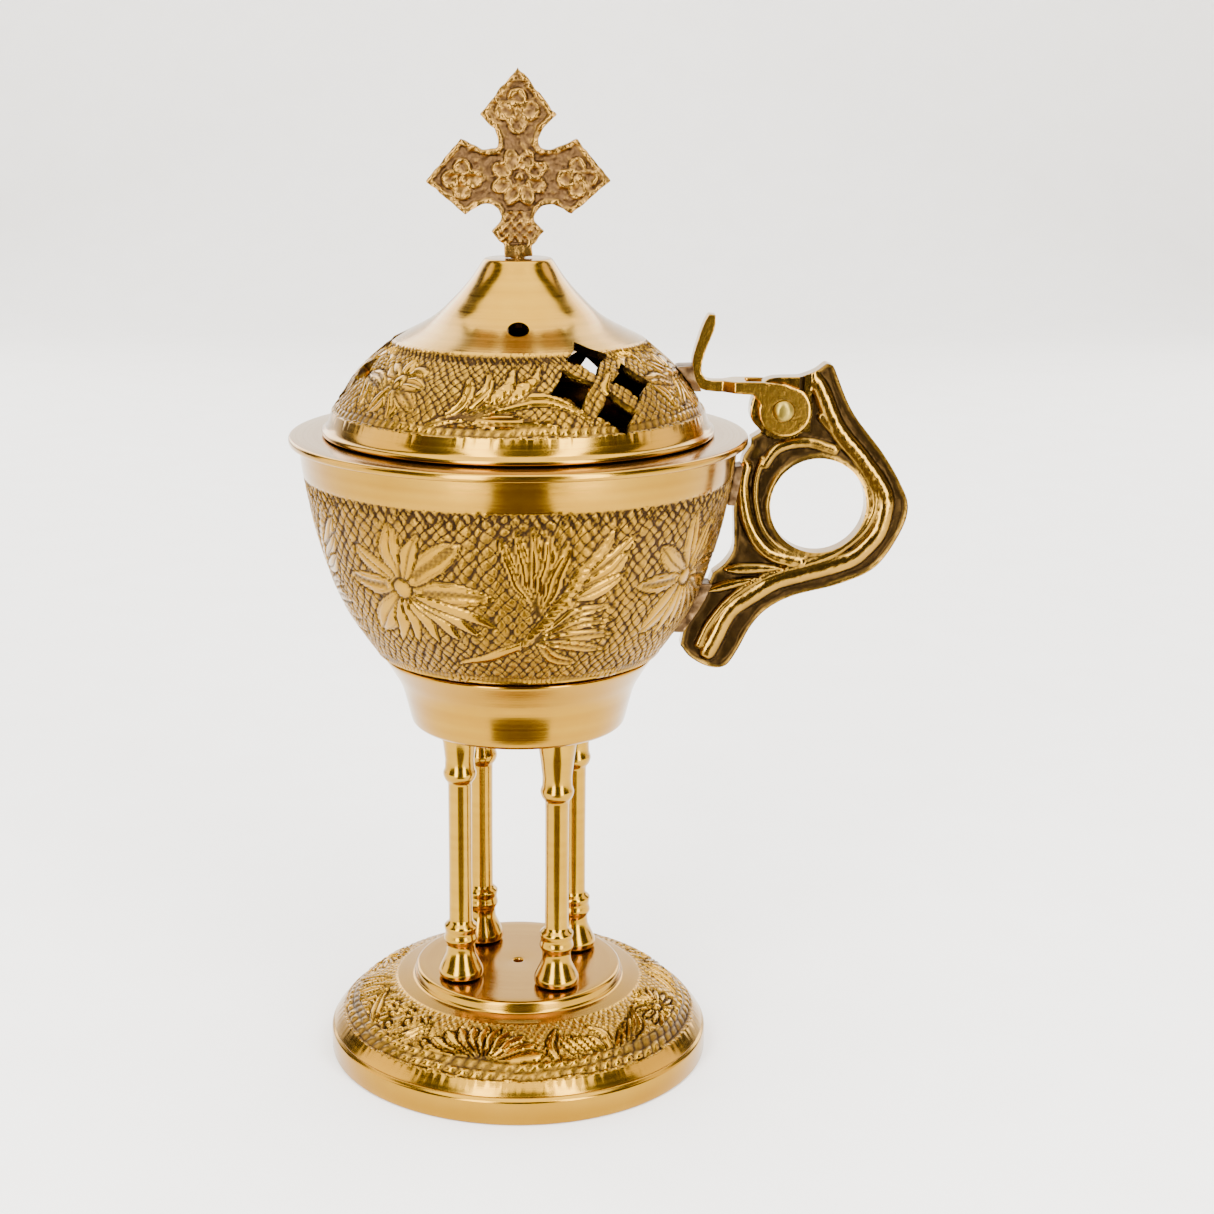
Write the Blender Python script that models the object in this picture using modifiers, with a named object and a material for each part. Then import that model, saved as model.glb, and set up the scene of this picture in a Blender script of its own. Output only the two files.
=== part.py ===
"""Brass hand censer: an engraved bowl on four turned pillars, with a hinged lid and a scroll handle.

Every sub-part is its own object. The bowl, collar and foot share one upright axis, and all sizes
below are millimetres measured from that axis (X towards the handle) and from the table (Z up).
"""
import bpy
import bmesh
from math import cos, pi, radians, sin
from mathutils import Matrix, Vector

MM = 0.001
GAP = 0.3                    # air between touching pieces

# Overall
FLANGE_R = 48.0              # widest turned radius
HANDLE_REACH = 82.0          # furthest point of the handle from the bowl axis
BOWL_AXIS_X = -(HANDLE_REACH - FLANGE_R) / 2
LATHE_STEPS = 36             # facets round a large turning
SMALL_STEPS = 12             # facets round a pillar, screw or pin

# Foot
FOOT_R = 41.6
DISC_TOP = 19.0
DISC_UNDER = 16.6

# Pillars
PILLAR_RING_R = 15.0         # pillars stand on this radius
PILLAR_FIRST_ANGLE = 33.5    # degrees from +X, then every quarter turn
SHAFT_R = 2.55
SCREW_R = 1.2
SCREW_HEAD_R = 2.6
SCREW_HEAD_THICK = 1.7
SCREW_BITE = 7.5             # thread length inside a pillar

# Collar
COLLAR_UNDER = 75.4
COLLAR_FLOOR = 77.9
COLLAR_TOP = 90.9

# Bowl
BOWL_FLOOR_UNDER = 88.4
BOWL_FLOOR = 90.9
FLANGE_TOP = 138.2
FLANGE_UNDER = 136.5
MOUTH_R = 38.0
BOWL_WALL = 2.3
BOLT_R = 2.0

# Lid
LID_SEAT = FLANGE_TOP + GAP
LID_TOP = 174.3
LID_TOP_UNDER = 172.0
LIP_R = 37.3
LIP_DEPTH = 2.8
LIP_WALL = 1.9
VENT_AZIMUTHS = (31.5, 151.5, 271.5)   # degrees from the front, turning towards the handle
VENT_HEIGHT = 152.7
VENT_SLOPE = 46.0            # degrees that the dome faces upward there
VENT_TURN = -42.0            # how the group of four windows is turned on the dome
VENT_PITCH = (10.0, 9.4)
WINDOW = (3.4, 3.4)          # half width and half height of one window
PEEP_R = 2.2                 # round vent in the cone
PEEP_HEIGHT = 161.8
PEEP_TILT = 40.0             # degrees that its drilling looks upward

# Cross
CROSS_THICK = 2.8
STUD_R = 1.3

# Hinge
HINGE_X = 54.9
HINGE_Z = 143.2
PIN_R = 1.5
PIN_HEAD_R = 2.25
HANDLE_THICK = 5.0
EAR_THICK = 1.5
EAR_INNER = HANDLE_THICK / 2 + GAP
EAR_OUTER = EAR_INNER + EAR_THICK
FORK_ROOT_X = 47.3           # where the slot of the fork ends

# Handle
FINGER_X = 63.1
FINGER_Z = 122.7
FINGER_R = 10.1

# Charcoal liner cup
CUP_RIM_R = 32.3
CUP_RIM_Z = 123.5

# Colours, linear
POLISHED = (0.72, 0.47, 0.17)
ENGRAVED = (0.50, 0.33, 0.13)
ANTIQUE = (0.30, 0.20, 0.07)
CROSS_BRASS = (0.42, 0.28, 0.12)
FASTENER = (0.62, 0.43, 0.18)
SOLDER = (0.40, 0.28, 0.22)


def clear_scene():
    """Start from an empty file."""
    for old in list(bpy.data.objects):
        bpy.data.objects.remove(old)


def new_collection(name):
    """Make a collection under the scene."""
    collection = bpy.data.collections.new(name)
    bpy.context.scene.collection.children.link(collection)
    return collection


def metal(name, colour, roughness, metallic=1.0):
    """One Principled metal, named for its piece."""
    material = bpy.data.materials.new(name + "_metal")
    material.use_nodes = True
    shader = material.node_tree.nodes["Principled BSDF"]
    shader.inputs["Base Color"].default_value = (*colour, 1.0)
    shader.inputs["Roughness"].default_value = roughness
    shader.inputs["Metallic"].default_value = metallic
    return material


def link(obj, collection):
    """Put an object in a collection."""
    collection.objects.link(obj)
    return obj


def anchor(name, x, z, parent=None):
    """An empty on an axis, which pieces hang from."""
    empty = link(bpy.data.objects.new(name, None), PARTS)
    empty.location = (x * MM, 0, z * MM)
    empty.parent = parent
    return empty


def evaluated_mesh(obj):
    """A plain mesh of what the object's modifiers or curve make, in world space."""
    bpy.context.view_layer.update()
    depsgraph = bpy.context.evaluated_depsgraph_get()
    mesh = bpy.data.meshes.new_from_object(obj.evaluated_get(depsgraph))
    mesh.transform(obj.matrix_world)
    return mesh


def clean(mesh, inside_out=False):
    """Weld a mesh and point its faces outward."""
    work = bmesh.new()
    work.from_mesh(mesh)
    bmesh.ops.remove_doubles(work, verts=work.verts, dist=0.000002)
    bmesh.ops.recalc_face_normals(work, faces=work.faces)
    if inside_out:
        bmesh.ops.reverse_faces(work, faces=work.faces)
    work.to_mesh(mesh)
    work.free()


def lathe_mesh(name, profile, steps):
    """Turn a profile of (radius, height) about Z. It starts inside and runs down the outer side."""
    closed = profile[0][0] > 0
    edges = [(i, i + 1) for i in range(len(profile) - 1)]
    if closed:
        edges.append((len(profile) - 1, 0))
    line = bpy.data.meshes.new(name + "_profile")
    line.from_pydata([(r * MM, 0, z * MM) for r, z in profile], edges, [])
    blank = link(bpy.data.objects.new(name + "_blank", line), GUIDES)
    screw = blank.modifiers.new("lathe", "SCREW")
    screw.steps = steps
    screw.render_steps = steps
    screw.use_merge_vertices = True
    screw.merge_threshold = 0.000001
    mesh = evaluated_mesh(blank)
    bpy.data.objects.remove(blank)
    clean(mesh)
    mesh.name = name
    mesh.shade_smooth()
    mesh.set_sharp_from_angle(angle=radians(35))
    return mesh


def outline_mesh(name, outlines, half_depth, smooth=False):
    """Extrude flat outlines of (x, z) to both sides of the XZ plane. Later outlines are holes."""
    curve = bpy.data.curves.new(name, "CURVE")
    curve.dimensions = "2D"
    curve.fill_mode = "BOTH"
    curve.extrude = half_depth * MM
    curve.resolution_u = 3
    for points in outlines:
        kind = "BEZIER" if smooth else "POLY"
        spline = curve.splines.new(kind)
        spline.use_cyclic_u = True
        if smooth:
            spline.bezier_points.add(len(points) - 1)
            for knot, point in zip(spline.bezier_points, points):
                knot.co = (point[0] * MM, point[1] * MM, 0)
                corner = len(point) > 2
                knot.handle_left_type = "VECTOR" if corner else "AUTO"
                knot.handle_right_type = "VECTOR" if corner else "AUTO"
        else:
            spline.points.add(len(points) - 1)
            for knot, (x, z) in zip(spline.points, points):
                knot.co = (x * MM, z * MM, 0, 1)
    sheet = link(bpy.data.objects.new(name + "_outline", curve), GUIDES)
    mesh = evaluated_mesh(sheet)
    bpy.data.objects.remove(sheet)
    mesh.transform(Matrix.Rotation(pi / 2, 4, "X"))
    clean(mesh)
    mesh.name = name
    return mesh


def piece(name, mesh, colour, roughness, parent):
    """A finished sub-part. Its mesh is in bowl-axis coordinates, wherever its parent stands."""
    obj = link(bpy.data.objects.new(name, mesh), PARTS)
    obj.data.materials.append(metal(name, colour, roughness))
    obj.parent = parent
    if parent is LID_AXIS:
        obj.location = (-HINGE_X * MM, 0, -HINGE_Z * MM)
    return obj


def guide(name, mesh, parent=None):
    """A cutter or a joining solid, kept out of the build."""
    obj = link(bpy.data.objects.new(name, mesh), GUIDES)
    obj.hide_render = True
    obj.display_type = "WIRE"
    if parent is None:
        obj.parent = BOWL_AXIS
    else:
        obj.parent = parent
        obj.location = (-HINGE_X * MM, 0, -HINGE_Z * MM)
    return obj


def boolean(obj, other, operation):
    """Cut, join or intersect with an exact Boolean."""
    modifier = obj.modifiers.new(other.name, "BOOLEAN")
    modifier.operation = operation
    modifier.solver = "EXACT"
    modifier.object = other


def rod_mesh(name, radius, low, high, sides=SMALL_STEPS):
    """A plain round bar along Z, between two heights."""
    work = bmesh.new()
    place = Matrix.Translation((0, 0, (low + high) / 2 * MM))
    bmesh.ops.create_cone(work, cap_ends=True, segments=sides, radius1=radius * MM, radius2=radius * MM,
                          depth=(high - low) * MM, matrix=place)
    mesh = bpy.data.meshes.new(name)
    work.to_mesh(mesh)
    work.free()
    return mesh


def box_mesh(name, low, high):
    """A block between two corners."""
    work = bmesh.new()
    middle = [(a + b) / 2 * MM for a, b in zip(low, high)]
    span = [(b - a) * MM for a, b in zip(low, high)]
    bmesh.ops.create_cube(work, size=1, matrix=Matrix.Translation(middle) @ Matrix.Diagonal((*span, 1)))
    mesh = bpy.data.meshes.new(name)
    work.to_mesh(mesh)
    work.free()
    return mesh


def across(mesh, x, z):
    """Lay a mesh that was made along Z down along Y, through (x, z)."""
    mesh.transform(Matrix.Translation((x * MM, 0, z * MM)) @ Matrix.Rotation(pi / 2, 4, "X"))
    return mesh


def moved(mesh, x, y):
    """Shift a mesh sideways."""
    mesh.transform(Matrix.Translation((x * MM, y * MM, 0)))
    return mesh


def smooth_run(points, cuts):
    """Points on a smooth curve through the given ones, with cuts extra points in each stretch."""
    run = []
    for i in range(len(points) - 1):
        before = Vector(points[max(i - 1, 0)])
        start = Vector(points[i])
        end = Vector(points[i + 1])
        after = Vector(points[min(i + 2, len(points) - 1)])
        for k in range(cuts + 1):
            t = k / (cuts + 1)
            a = 2 * start
            b = (end - before) * t
            c = (2 * before - 5 * start + 4 * end - after) * t ** 2
            d = (3 * start - before - 3 * end + after) * t ** 3
            run.append(tuple((a + b + c + d) / 2))
    run.append(tuple(points[-1]))
    return run


def inner_wall(outer, thickness):
    """The same run, moved inward by the wall thickness and turned round."""
    run = []
    for i, (r, z) in enumerate(outer):
        before = outer[max(i - 1, 0)]
        after = outer[min(i + 1, len(outer) - 1)]
        slope = Vector((after[0] - before[0], after[1] - before[1])).normalized()
        run.append((r + slope[1] * thickness, z - slope[0] * thickness))
    return run[::-1]


def radius_at(run, height):
    """Outer radius of a turned run at a height."""
    for (r0, z0), (r1, z1) in zip(run, run[1:]):
        if z1 <= height <= z0:
            return r0 + (r1 - r0) * (z0 - height) / (z0 - z1)
    raise ValueError("height is outside the run")


def pillar_spots():
    """Name and (x, y) of each pillar."""
    names = ("rear_right", "rear_left", "front_left", "front_right")
    for i, name in enumerate(names):
        angle = radians(PILLAR_FIRST_ANGLE + 90 * i)
        yield name, PILLAR_RING_R * cos(angle), PILLAR_RING_R * sin(angle)


def screw_holes(obj, name, low, high):
    """Cut the four clearance holes for the pillar screws."""
    for spot, x, y in pillar_spots():
        hole = guide(f"{name}_hole_{spot}", moved(rod_mesh(name, SCREW_R + GAP, low, high), x, y))
        boolean(obj, hole, "DIFFERENCE")


# The dome of the foot and the outside of the bowl and lid, top to bottom
FOOT_DOME = smooth_run([(26.9, 16.1), (31.0, 14.7), (35.6, 12.0), (39.2, 8.5)], 1)
BOWL_WALL_RUN = smooth_run([(45.8, 136.4), (45.1, 130.1), (42.4, 117.0), (37.5, 103.0), (30.4, 92.0)], 1)
LID_DOME = smooth_run([(26.2, 157.8), (32.8, 152.0), (36.5, 147.0), (38.9, 143.3)], 1)
LID_CONE = [(7.4, 173.6), (9.9, 170.0), (13.5, 166.0), (18.1, 162.0), (26.2, 157.8)]


def make_foot():
    """Turned shell with a hollow underside and a raised disc, marked at its centre."""
    outside = [(0, DISC_TOP - 0.7), (1.2, DISC_TOP), (22.2, DISC_TOP), (22.7, 18.5), (22.9, 16.8), (23.3, 16.5)]
    outside += FOOT_DOME
    outside += [(41.0, 6.2), (40.8, 5.8), (FOOT_R, 5.3), (FOOT_R, 0.4), (41.2, 0.0), (38.3, 0.0)]
    inside = [(38.0, 0.4), (38.0, 5.0), (36.6, 8.0), (33.9, 10.4), (30.0, 12.4), (25.5, 13.7), (20.6, 14.0)]
    inside += [(20.2, 14.4), (20.2, DISC_UNDER), (0, DISC_UNDER)]
    foot = piece("base_foot", lathe_mesh("base_foot", outside + inside, LATHE_STEPS), POLISHED, 0.16, BOWL_AXIS)
    screw_holes(foot, "foot", DISC_UNDER - 3, DISC_TOP + 3)


def pillar_profile(bead):
    """Foot bell, ring, shaft, upper bead and flared head. The bead's height is turned by eye."""
    low = DISC_TOP + GAP
    high = COLLAR_UNDER - GAP
    bore = SCREW_R + GAP
    top = [(0, high - SCREW_BITE - 1), (bore, high - SCREW_BITE - 1), (bore, high), (4.1, high), (4.2, high - 0.5)]
    flare = [(3.6, bead + 7.0), (3.15, bead + 3.2), (3.2, bead + 1.2)]
    ring = [(3.65, bead), (3.3, bead - 1.3), (SHAFT_R, bead - 2.2)]
    shaft = [(SHAFT_R, 32.0), (3.7, 31.0), (3.35, 29.4), (3.75, 27.9), (3.05, 26.6)]
    bell = [(3.2, 24.6), (4.1, 22.6), (4.85, 21.0), (4.9, 19.9), (4.6, low)]
    bottom = [(bore, low), (bore, low + SCREW_BITE + 1), (0, low + SCREW_BITE + 1)]
    return top + flare + ring + shaft + bell + bottom


def make_pillars():
    """Four turned pillars, a screw up into each foot and a screw down into each head."""
    bead_heights = {"rear_right": 64.0, "rear_left": 63.2, "front_left": 65.9, "front_right": 63.2}
    for name, x, y in pillar_spots():
        turned = lathe_mesh("pillar_" + name, pillar_profile(bead_heights[name]), SMALL_STEPS)
        piece("pillar_" + name, moved(turned, x, y), POLISHED, 0.14, BOWL_AXIS)
        seat = DISC_UNDER - GAP
        lower = [(0, DISC_TOP + SCREW_BITE), (SCREW_R, DISC_TOP + SCREW_BITE), (SCREW_R, seat), (SCREW_HEAD_R, seat),
                 (SCREW_HEAD_R, seat - 1.0), (1.8, seat - SCREW_HEAD_THICK), (0, seat - SCREW_HEAD_THICK)]
        screw = moved(lathe_mesh("foot_screw_" + name, lower, SMALL_STEPS), x, y)
        piece("foot_screw_" + name, screw, FASTENER, 0.3, BOWL_AXIS)
        seat = COLLAR_FLOOR + GAP
        tip = COLLAR_UNDER - SCREW_BITE
        upper = [(0, seat + SCREW_HEAD_THICK), (1.8, seat + SCREW_HEAD_THICK), (SCREW_HEAD_R, seat + 1.0),
                 (SCREW_HEAD_R, seat), (SCREW_R, seat), (SCREW_R, tip), (0, tip)]
        screw = moved(lathe_mesh("collar_screw_" + name, upper, SMALL_STEPS), x, y)
        piece("collar_screw_" + name, screw, FASTENER, 0.3, BOWL_AXIS)


def make_collar():
    """Flared saucer that carries the bowl; the pillars are screwed to its floor."""
    hole = BOLT_R + GAP
    outside = smooth_run([(28.9, 90.5), (26.7, 87.0), (24.9, 83.5), (23.2, 77.0)], 1)
    inside = inner_wall(outside[:-1], 2.0)
    profile = [(26.9, COLLAR_TOP), (28.7, COLLAR_TOP)] + outside
    profile += [(22.9, 76.0), (22.2, COLLAR_UNDER), (hole, COLLAR_UNDER), (hole, COLLAR_FLOOR), (20.4, COLLAR_FLOOR)]
    profile += [point for point in inside if COLLAR_FLOOR + 0.8 < point[1] < COLLAR_TOP - 1.2]
    collar = piece("bowl_collar", lathe_mesh("bowl_collar", profile, LATHE_STEPS), POLISHED, 0.16, BOWL_AXIS)
    screw_holes(collar, "collar", COLLAR_UNDER - 3, COLLAR_FLOOR + 3)


def make_bowl():
    """Thin bowl with a flat flange; its stepped bottom drops into the collar."""
    hole = BOLT_R + GAP
    flange = [(MOUTH_R, FLANGE_TOP), (47.6, FLANGE_TOP), (FLANGE_R, 137.8), (FLANGE_R, 136.9), (47.6, FLANGE_UNDER)]
    bottom = [(28.9, COLLAR_TOP + GAP), (26.2, COLLAR_TOP + GAP), (24.6, BOWL_FLOOR_UNDER)]
    bottom += [(hole, BOWL_FLOOR_UNDER), (hole, BOWL_FLOOR), (24.0, BOWL_FLOOR)]
    inside = inner_wall(BOWL_WALL_RUN[1:-1], BOWL_WALL)
    rim = [(MOUTH_R + 4.5, 135.6), (MOUTH_R, FLANGE_UNDER - 0.2)]
    profile = flange + BOWL_WALL_RUN + bottom + inside + rim
    piece("bowl", lathe_mesh("bowl", profile, LATHE_STEPS), ENGRAVED, 0.3, BOWL_AXIS)


def make_bowl_bolt():
    """Bolt down through bowl and collar floors, with a washer and a hexagon nut below."""
    seat = BOWL_FLOOR + GAP
    bolt = [(0, seat + 1.8), (2.6, seat + 1.8), (3.6, seat + 1.0), (3.6, seat), (BOLT_R, seat), (BOLT_R, 70.5), (0, 70.5)]
    piece("bowl_bolt", lathe_mesh("bowl_bolt", bolt, SMALL_STEPS), FASTENER, 0.3, BOWL_AXIS)
    hole = BOLT_R + GAP
    washer = [(hole, 75.1), (4.6, 75.1), (4.6, 74.4), (hole, 74.4)]
    piece("bowl_washer", lathe_mesh("bowl_washer", washer, SMALL_STEPS), FASTENER, 0.3, BOWL_AXIS)
    nut = [(hole, 74.1), (3.6, 74.1), (4.0, 73.7), (4.0, 71.7), (3.6, 71.3), (hole, 71.3)]
    piece("bowl_nut", lathe_mesh("bowl_nut", nut, 6), FASTENER, 0.3, BOWL_AXIS)


def make_cup():
    """Loose liner on its own foot ring, with a rolled rim to lift it by."""
    inside = smooth_run([(0, 95.2), (16.5, 95.9), (24.6, 100.4), (28.4, 110.0), (28.9, CUP_RIM_Z)], 1)
    rim = [(31.9, CUP_RIM_Z), (CUP_RIM_R, 123.0), (CUP_RIM_R, 122.1), (31.9, 121.7), (30.5, 121.5)]
    outside = smooth_run([(30.5, 121.5), (30.0, 109.5), (25.7, 99.2), (17.2, 94.4), (12.4, 93.9)], 1)[1:]
    foot_ring = [(12.1, BOWL_FLOOR + GAP), (10.5, BOWL_FLOOR + GAP), (10.2, 93.5), (0, 93.5)]
    profile = inside + rim + outside + foot_ring
    piece("charcoal_cup", lathe_mesh("charcoal_cup", profile, LATHE_STEPS), FASTENER, 0.4, BOWL_AXIS)


def window_outline():
    """One vent window: four corners with sides that pull in a little between them."""
    wide, tall = WINDOW
    pull = 0.86
    return [(wide, tall), (0, tall * pull), (-wide, tall), (-wide * pull, 0),
            (-wide, -tall), (0, -tall * pull), (wide, -tall), (wide * pull, 0)]


def cut_vents(lid):
    """Three groups of four windows round the dome, and one round vent in the cone."""
    reach = 6.0
    outer = radius_at(LID_DOME, VENT_HEIGHT)
    for azimuth in VENT_AZIMUTHS:
        turn = Matrix.Rotation(radians(azimuth), 4, "Z")
        face = Matrix.Translation((0, -outer * MM, VENT_HEIGHT * MM)) @ Matrix.Rotation(-radians(VENT_SLOPE), 4, "X")
        spin = Matrix.Rotation(radians(-VENT_TURN), 4, "Y")
        for column in (-0.5, 0.5):
            for row in (-0.5, 0.5):
                name = f"vent_{azimuth:.0f}_{'right' if column > 0 else 'left'}_{'upper' if row > 0 else 'lower'}"
                window = outline_mesh(name, [window_outline()], reach)
                shift = Matrix.Translation((column * VENT_PITCH[0] * MM, 0, row * VENT_PITCH[1] * MM))
                window.transform(turn @ face @ spin @ shift)
                boolean(lid, guide(name, window, LID_AXIS), "DIFFERENCE")
    peep = rod_mesh("peep_hole", PEEP_R, -6, 6, 12)
    mouth = Matrix.Translation((0, -radius_at(LID_CONE, PEEP_HEIGHT) * MM, PEEP_HEIGHT * MM))
    peep.transform(mouth @ Matrix.Rotation(radians(90 - PEEP_TILT), 4, "X"))
    boolean(lid, guide("peep_hole", peep, LID_AXIS), "DIFFERENCE")


def make_lid():
    """Dome and cone in one shell, seated on the flange and centred by a lip in the bowl's mouth."""
    hole = STUD_R + GAP
    lip_low = LID_SEAT - LIP_DEPTH
    band = [(39.6, 141.0), (40.2, 139.9), (40.9, 139.5), (41.1, 139.0), (40.9, LID_SEAT), (LIP_R, LID_SEAT)]
    lip = [(LIP_R, lip_low), (LIP_R - LIP_WALL, lip_low), (LIP_R - LIP_WALL, 139.5)]
    shell = LID_CONE[:-1] + LID_DOME
    inside = [(r, z) for r, z in inner_wall(shell[1:], 2.0) if z < LID_TOP_UNDER - 0.4]
    profile = [(hole, LID_TOP), (6.9, LID_TOP)] + shell + band + lip + inside
    profile += [(6.2, LID_TOP_UNDER), (hole, LID_TOP_UNDER)]
    lid = piece("lid", lathe_mesh("lid", profile, LATHE_STEPS), ENGRAVED, 0.28, LID_AXIS)
    cut_vents(lid)


def make_cross():
    """Flat cast cross of four kite-shaped arms on a short stem, with a threaded stud and its nut."""
    right = [(0, 212.5), (7.8, 202.9), (5.0, 199.8), (4.1, 196.9), (8.0, 196.4), (11.8, 198.0), (18.9, 189.9),
             (10.9, 183.2), (7.2, 184.9), (3.9, 184.3), (3.4, 181.9), (5.4, 179.6), (2.8, 176.9), (2.8, LID_TOP + GAP)]
    left = [(-x, z) for x, z in reversed(right) if x > 0]
    mesh = outline_mesh("cross", [right + left], CROSS_THICK / 2)
    cross = piece("cross", mesh, CROSS_BRASS, 0.42, LID_AXIS)
    stud = guide("cross_stud", rod_mesh("cross_stud", STUD_R, 167.5, 176.5, 12), LID_AXIS)
    boolean(cross, stud, "UNION")
    hole = STUD_R + GAP
    nut = [(hole, 171.6), (3.0, 171.6), (3.3, 171.3), (3.3, 169.3), (3.0, 169.0), (hole, 169.0)]
    piece("cross_nut", lathe_mesh("cross_nut", nut, 6), FASTENER, 0.3, LID_AXIS)


def ear_arc(centre_x, centre_z, radius, start, end, count):
    """Points on an arc in the XZ plane, between two angles in degrees."""
    run = []
    for i in range(count):
        angle = radians(start + (end - start) * i / (count - 1))
        run.append((centre_x + radius * cos(angle), centre_z + radius * sin(angle)))
    return run


def make_arm():
    """Bent lever: thumb spur, flat rod and a two-eared fork round the handle's lug."""
    ear = ear_arc(HINGE_X + 0.4, HINGE_Z, 5.4, 50, -195, 15)
    under = [(48.6, 146.5), (45.5, 146.7), (41.0, 146.9), (38.6, 147.2), (37.4, 147.9), (36.6, 149.2)]
    spur = [(36.1, 151.0), (36.1, 153.7), (37.1, 157.6), (38.3, 161.1), (39.3, 163.0), (40.7, 162.8), (40.6, 160.2),
            (39.8, 158.0), (38.8, 155.4), (38.1, 152.8), (38.0, 150.9)]
    top = [(38.8, 149.6), (40.2, 149.2), (47.1, 149.2), (51.0, 149.1), (55.2, 148.7)]
    side = outline_mesh("lid_arm", [ear + under + spur + top], EAR_OUTER)
    arm = piece("lid_arm", side, ANTIQUE, 0.34, LID_AXIS)
    narrow = 2.1
    plan = [(30, -narrow), (42.5, -narrow), (45.8, -EAR_OUTER - 1), (70, -EAR_OUTER - 1)]
    plan += [(x, -y) for x, y in reversed(plan)]
    plan_block = outline_mesh("arm_plan", [plan], 100)
    plan_block.transform(Matrix.Translation((0, 0, HINGE_Z * MM)) @ Matrix.Rotation(pi / 2, 4, "X"))
    boolean(arm, guide("arm_plan", plan_block, LID_AXIS), "INTERSECT")
    slot = box_mesh("fork_slot", (FORK_ROOT_X, -EAR_INNER, 130), (70, EAR_INNER, 160))
    boolean(arm, guide("fork_slot", slot, LID_AXIS), "DIFFERENCE")
    bore = across(rod_mesh("ear_bore", PIN_R + GAP, -10, 10), HINGE_X, HINGE_Z)
    boolean(arm, guide("ear_bore", bore, LID_AXIS), "DIFFERENCE")
    dome = [(radius_at(LID_DOME, z) + 0.4, z) for z in (147.0, 149.0, 151.0, 152.2)]
    solder = dome + [(35.7, 152.2), (35.7, 151.0), (36.2, 149.1), (37.0, 147.7), (37.6, 147.0)]
    piece("arm_solder", outline_mesh("arm_solder", [solder], 3.2), SOLDER, 0.45, LID_AXIS)


def make_pin():
    """Rivet across the hinge, with a domed head on each side."""
    head = EAR_OUTER + GAP
    half = [(0, head + 1.0), (1.2, head + 0.9), (1.9, head + 0.5), (PIN_HEAD_R, head), (PIN_R, head)]
    profile = half + [(r, -y) for r, y in reversed(half)]
    pin = across(lathe_mesh("hinge_pin", profile, SMALL_STEPS), HINGE_X, HINGE_Z)
    piece("hinge_pin", pin, FASTENER, 0.32, LID_AXIS)


def handle_outline():
    """Lug, stop post, outer sweep, lower scroll and the two seats against the bowl. True marks a corner."""
    lug = [(50.8, 138.5, True), (48.6, 141.0), (48.3, 143.6), (49.0, 146.2), (50.6, 148.6), (52.8, 149.8), (58.6, 150.0, True)]
    post = [(61.8, 151.3), (63.9, 152.9, True), (65.3, 152.3, True), (69.5, 142.9), (76.1, 134.2)]
    sweep = [(80.0, 127.9), (HANDLE_REACH, 122.6), (80.5, 116.8), (75.6, 109.5), (68.0, 105.8), (58.5, 103.3)]
    scroll = [(53.0, 100.4), (49.6, 96.6), (46.8, 91.2), (44.3, 87.8), (40.8, 87.6), (36.8, 89.7), (34.6, 92.4, True)]
    lower_seat = [(radius_at(BOWL_WALL_RUN, z) + 1.9, z) for z in (97.0, 102.0)]
    inner = [(41.2, 108.2, True), (43.7, 110.3), (45.4, 113.3), (45.5, 117.5), (45.3, 122.0, True)]
    upper_seat = [(radius_at(BOWL_WALL_RUN, z) + 1.5, z) for z in (124.5, 129.0, 133.0)]
    return lug + post + sweep + scroll + lower_seat + inner + upper_seat + [(48.6, 135.7, True), (48.6, 137.2, True)]


def make_handle():
    """Thick flat casting with a finger hole and a bored hinge lug, brazed to the bowl at two seats."""
    mesh = outline_mesh("handle", [handle_outline()], HANDLE_THICK / 2, smooth=True)
    handle = piece("handle", mesh, ANTIQUE, 0.4, BOWL_AXIS)
    finger = across(rod_mesh("finger_hole", FINGER_R, -10, 10, 32), FINGER_X, FINGER_Z)
    boolean(handle, guide("finger_hole", finger), "DIFFERENCE")
    bore = across(rod_mesh("lug_bore", PIN_R + GAP, -10, 10), HINGE_X, HINGE_Z)
    boolean(handle, guide("lug_bore", bore), "DIFFERENCE")
    seats = {"upper": ((131.2, 128.0, 125.0, 123.0), 1.5, GAP), "lower": ((106.0, 102.5, 99.0, 95.5), 1.9, 0.4)}
    for name, (heights, recess, gap) in seats.items():
        bowl_side = [(radius_at(BOWL_WALL_RUN, z) + gap, z) for z in heights]
        handle_side = [(radius_at(BOWL_WALL_RUN, z) + recess - gap, z) for z in reversed(heights)]
        mesh = outline_mesh("handle_solder_" + name, [bowl_side + handle_side], 3.2)
        piece("handle_solder_" + name, mesh, SOLDER, 0.45, BOWL_AXIS)


clear_scene()
PARTS = new_collection("thurible_censer")
GUIDES = new_collection("cutters")
BOWL_AXIS = anchor("bowl_axis", BOWL_AXIS_X, 0)
LID_AXIS = anchor("lid_hinge_axis", HINGE_X, HINGE_Z, BOWL_AXIS)
make_foot()
make_pillars()
make_collar()
make_bowl()
make_bowl_bolt()
make_cup()
make_lid()
make_cross()
make_arm()
make_pin()
make_handle()
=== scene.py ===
from math import atan2, ceil, cos, hypot, pi, radians, sin
import bpy
import numpy as np
from mathutils import Matrix, Vector


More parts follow.
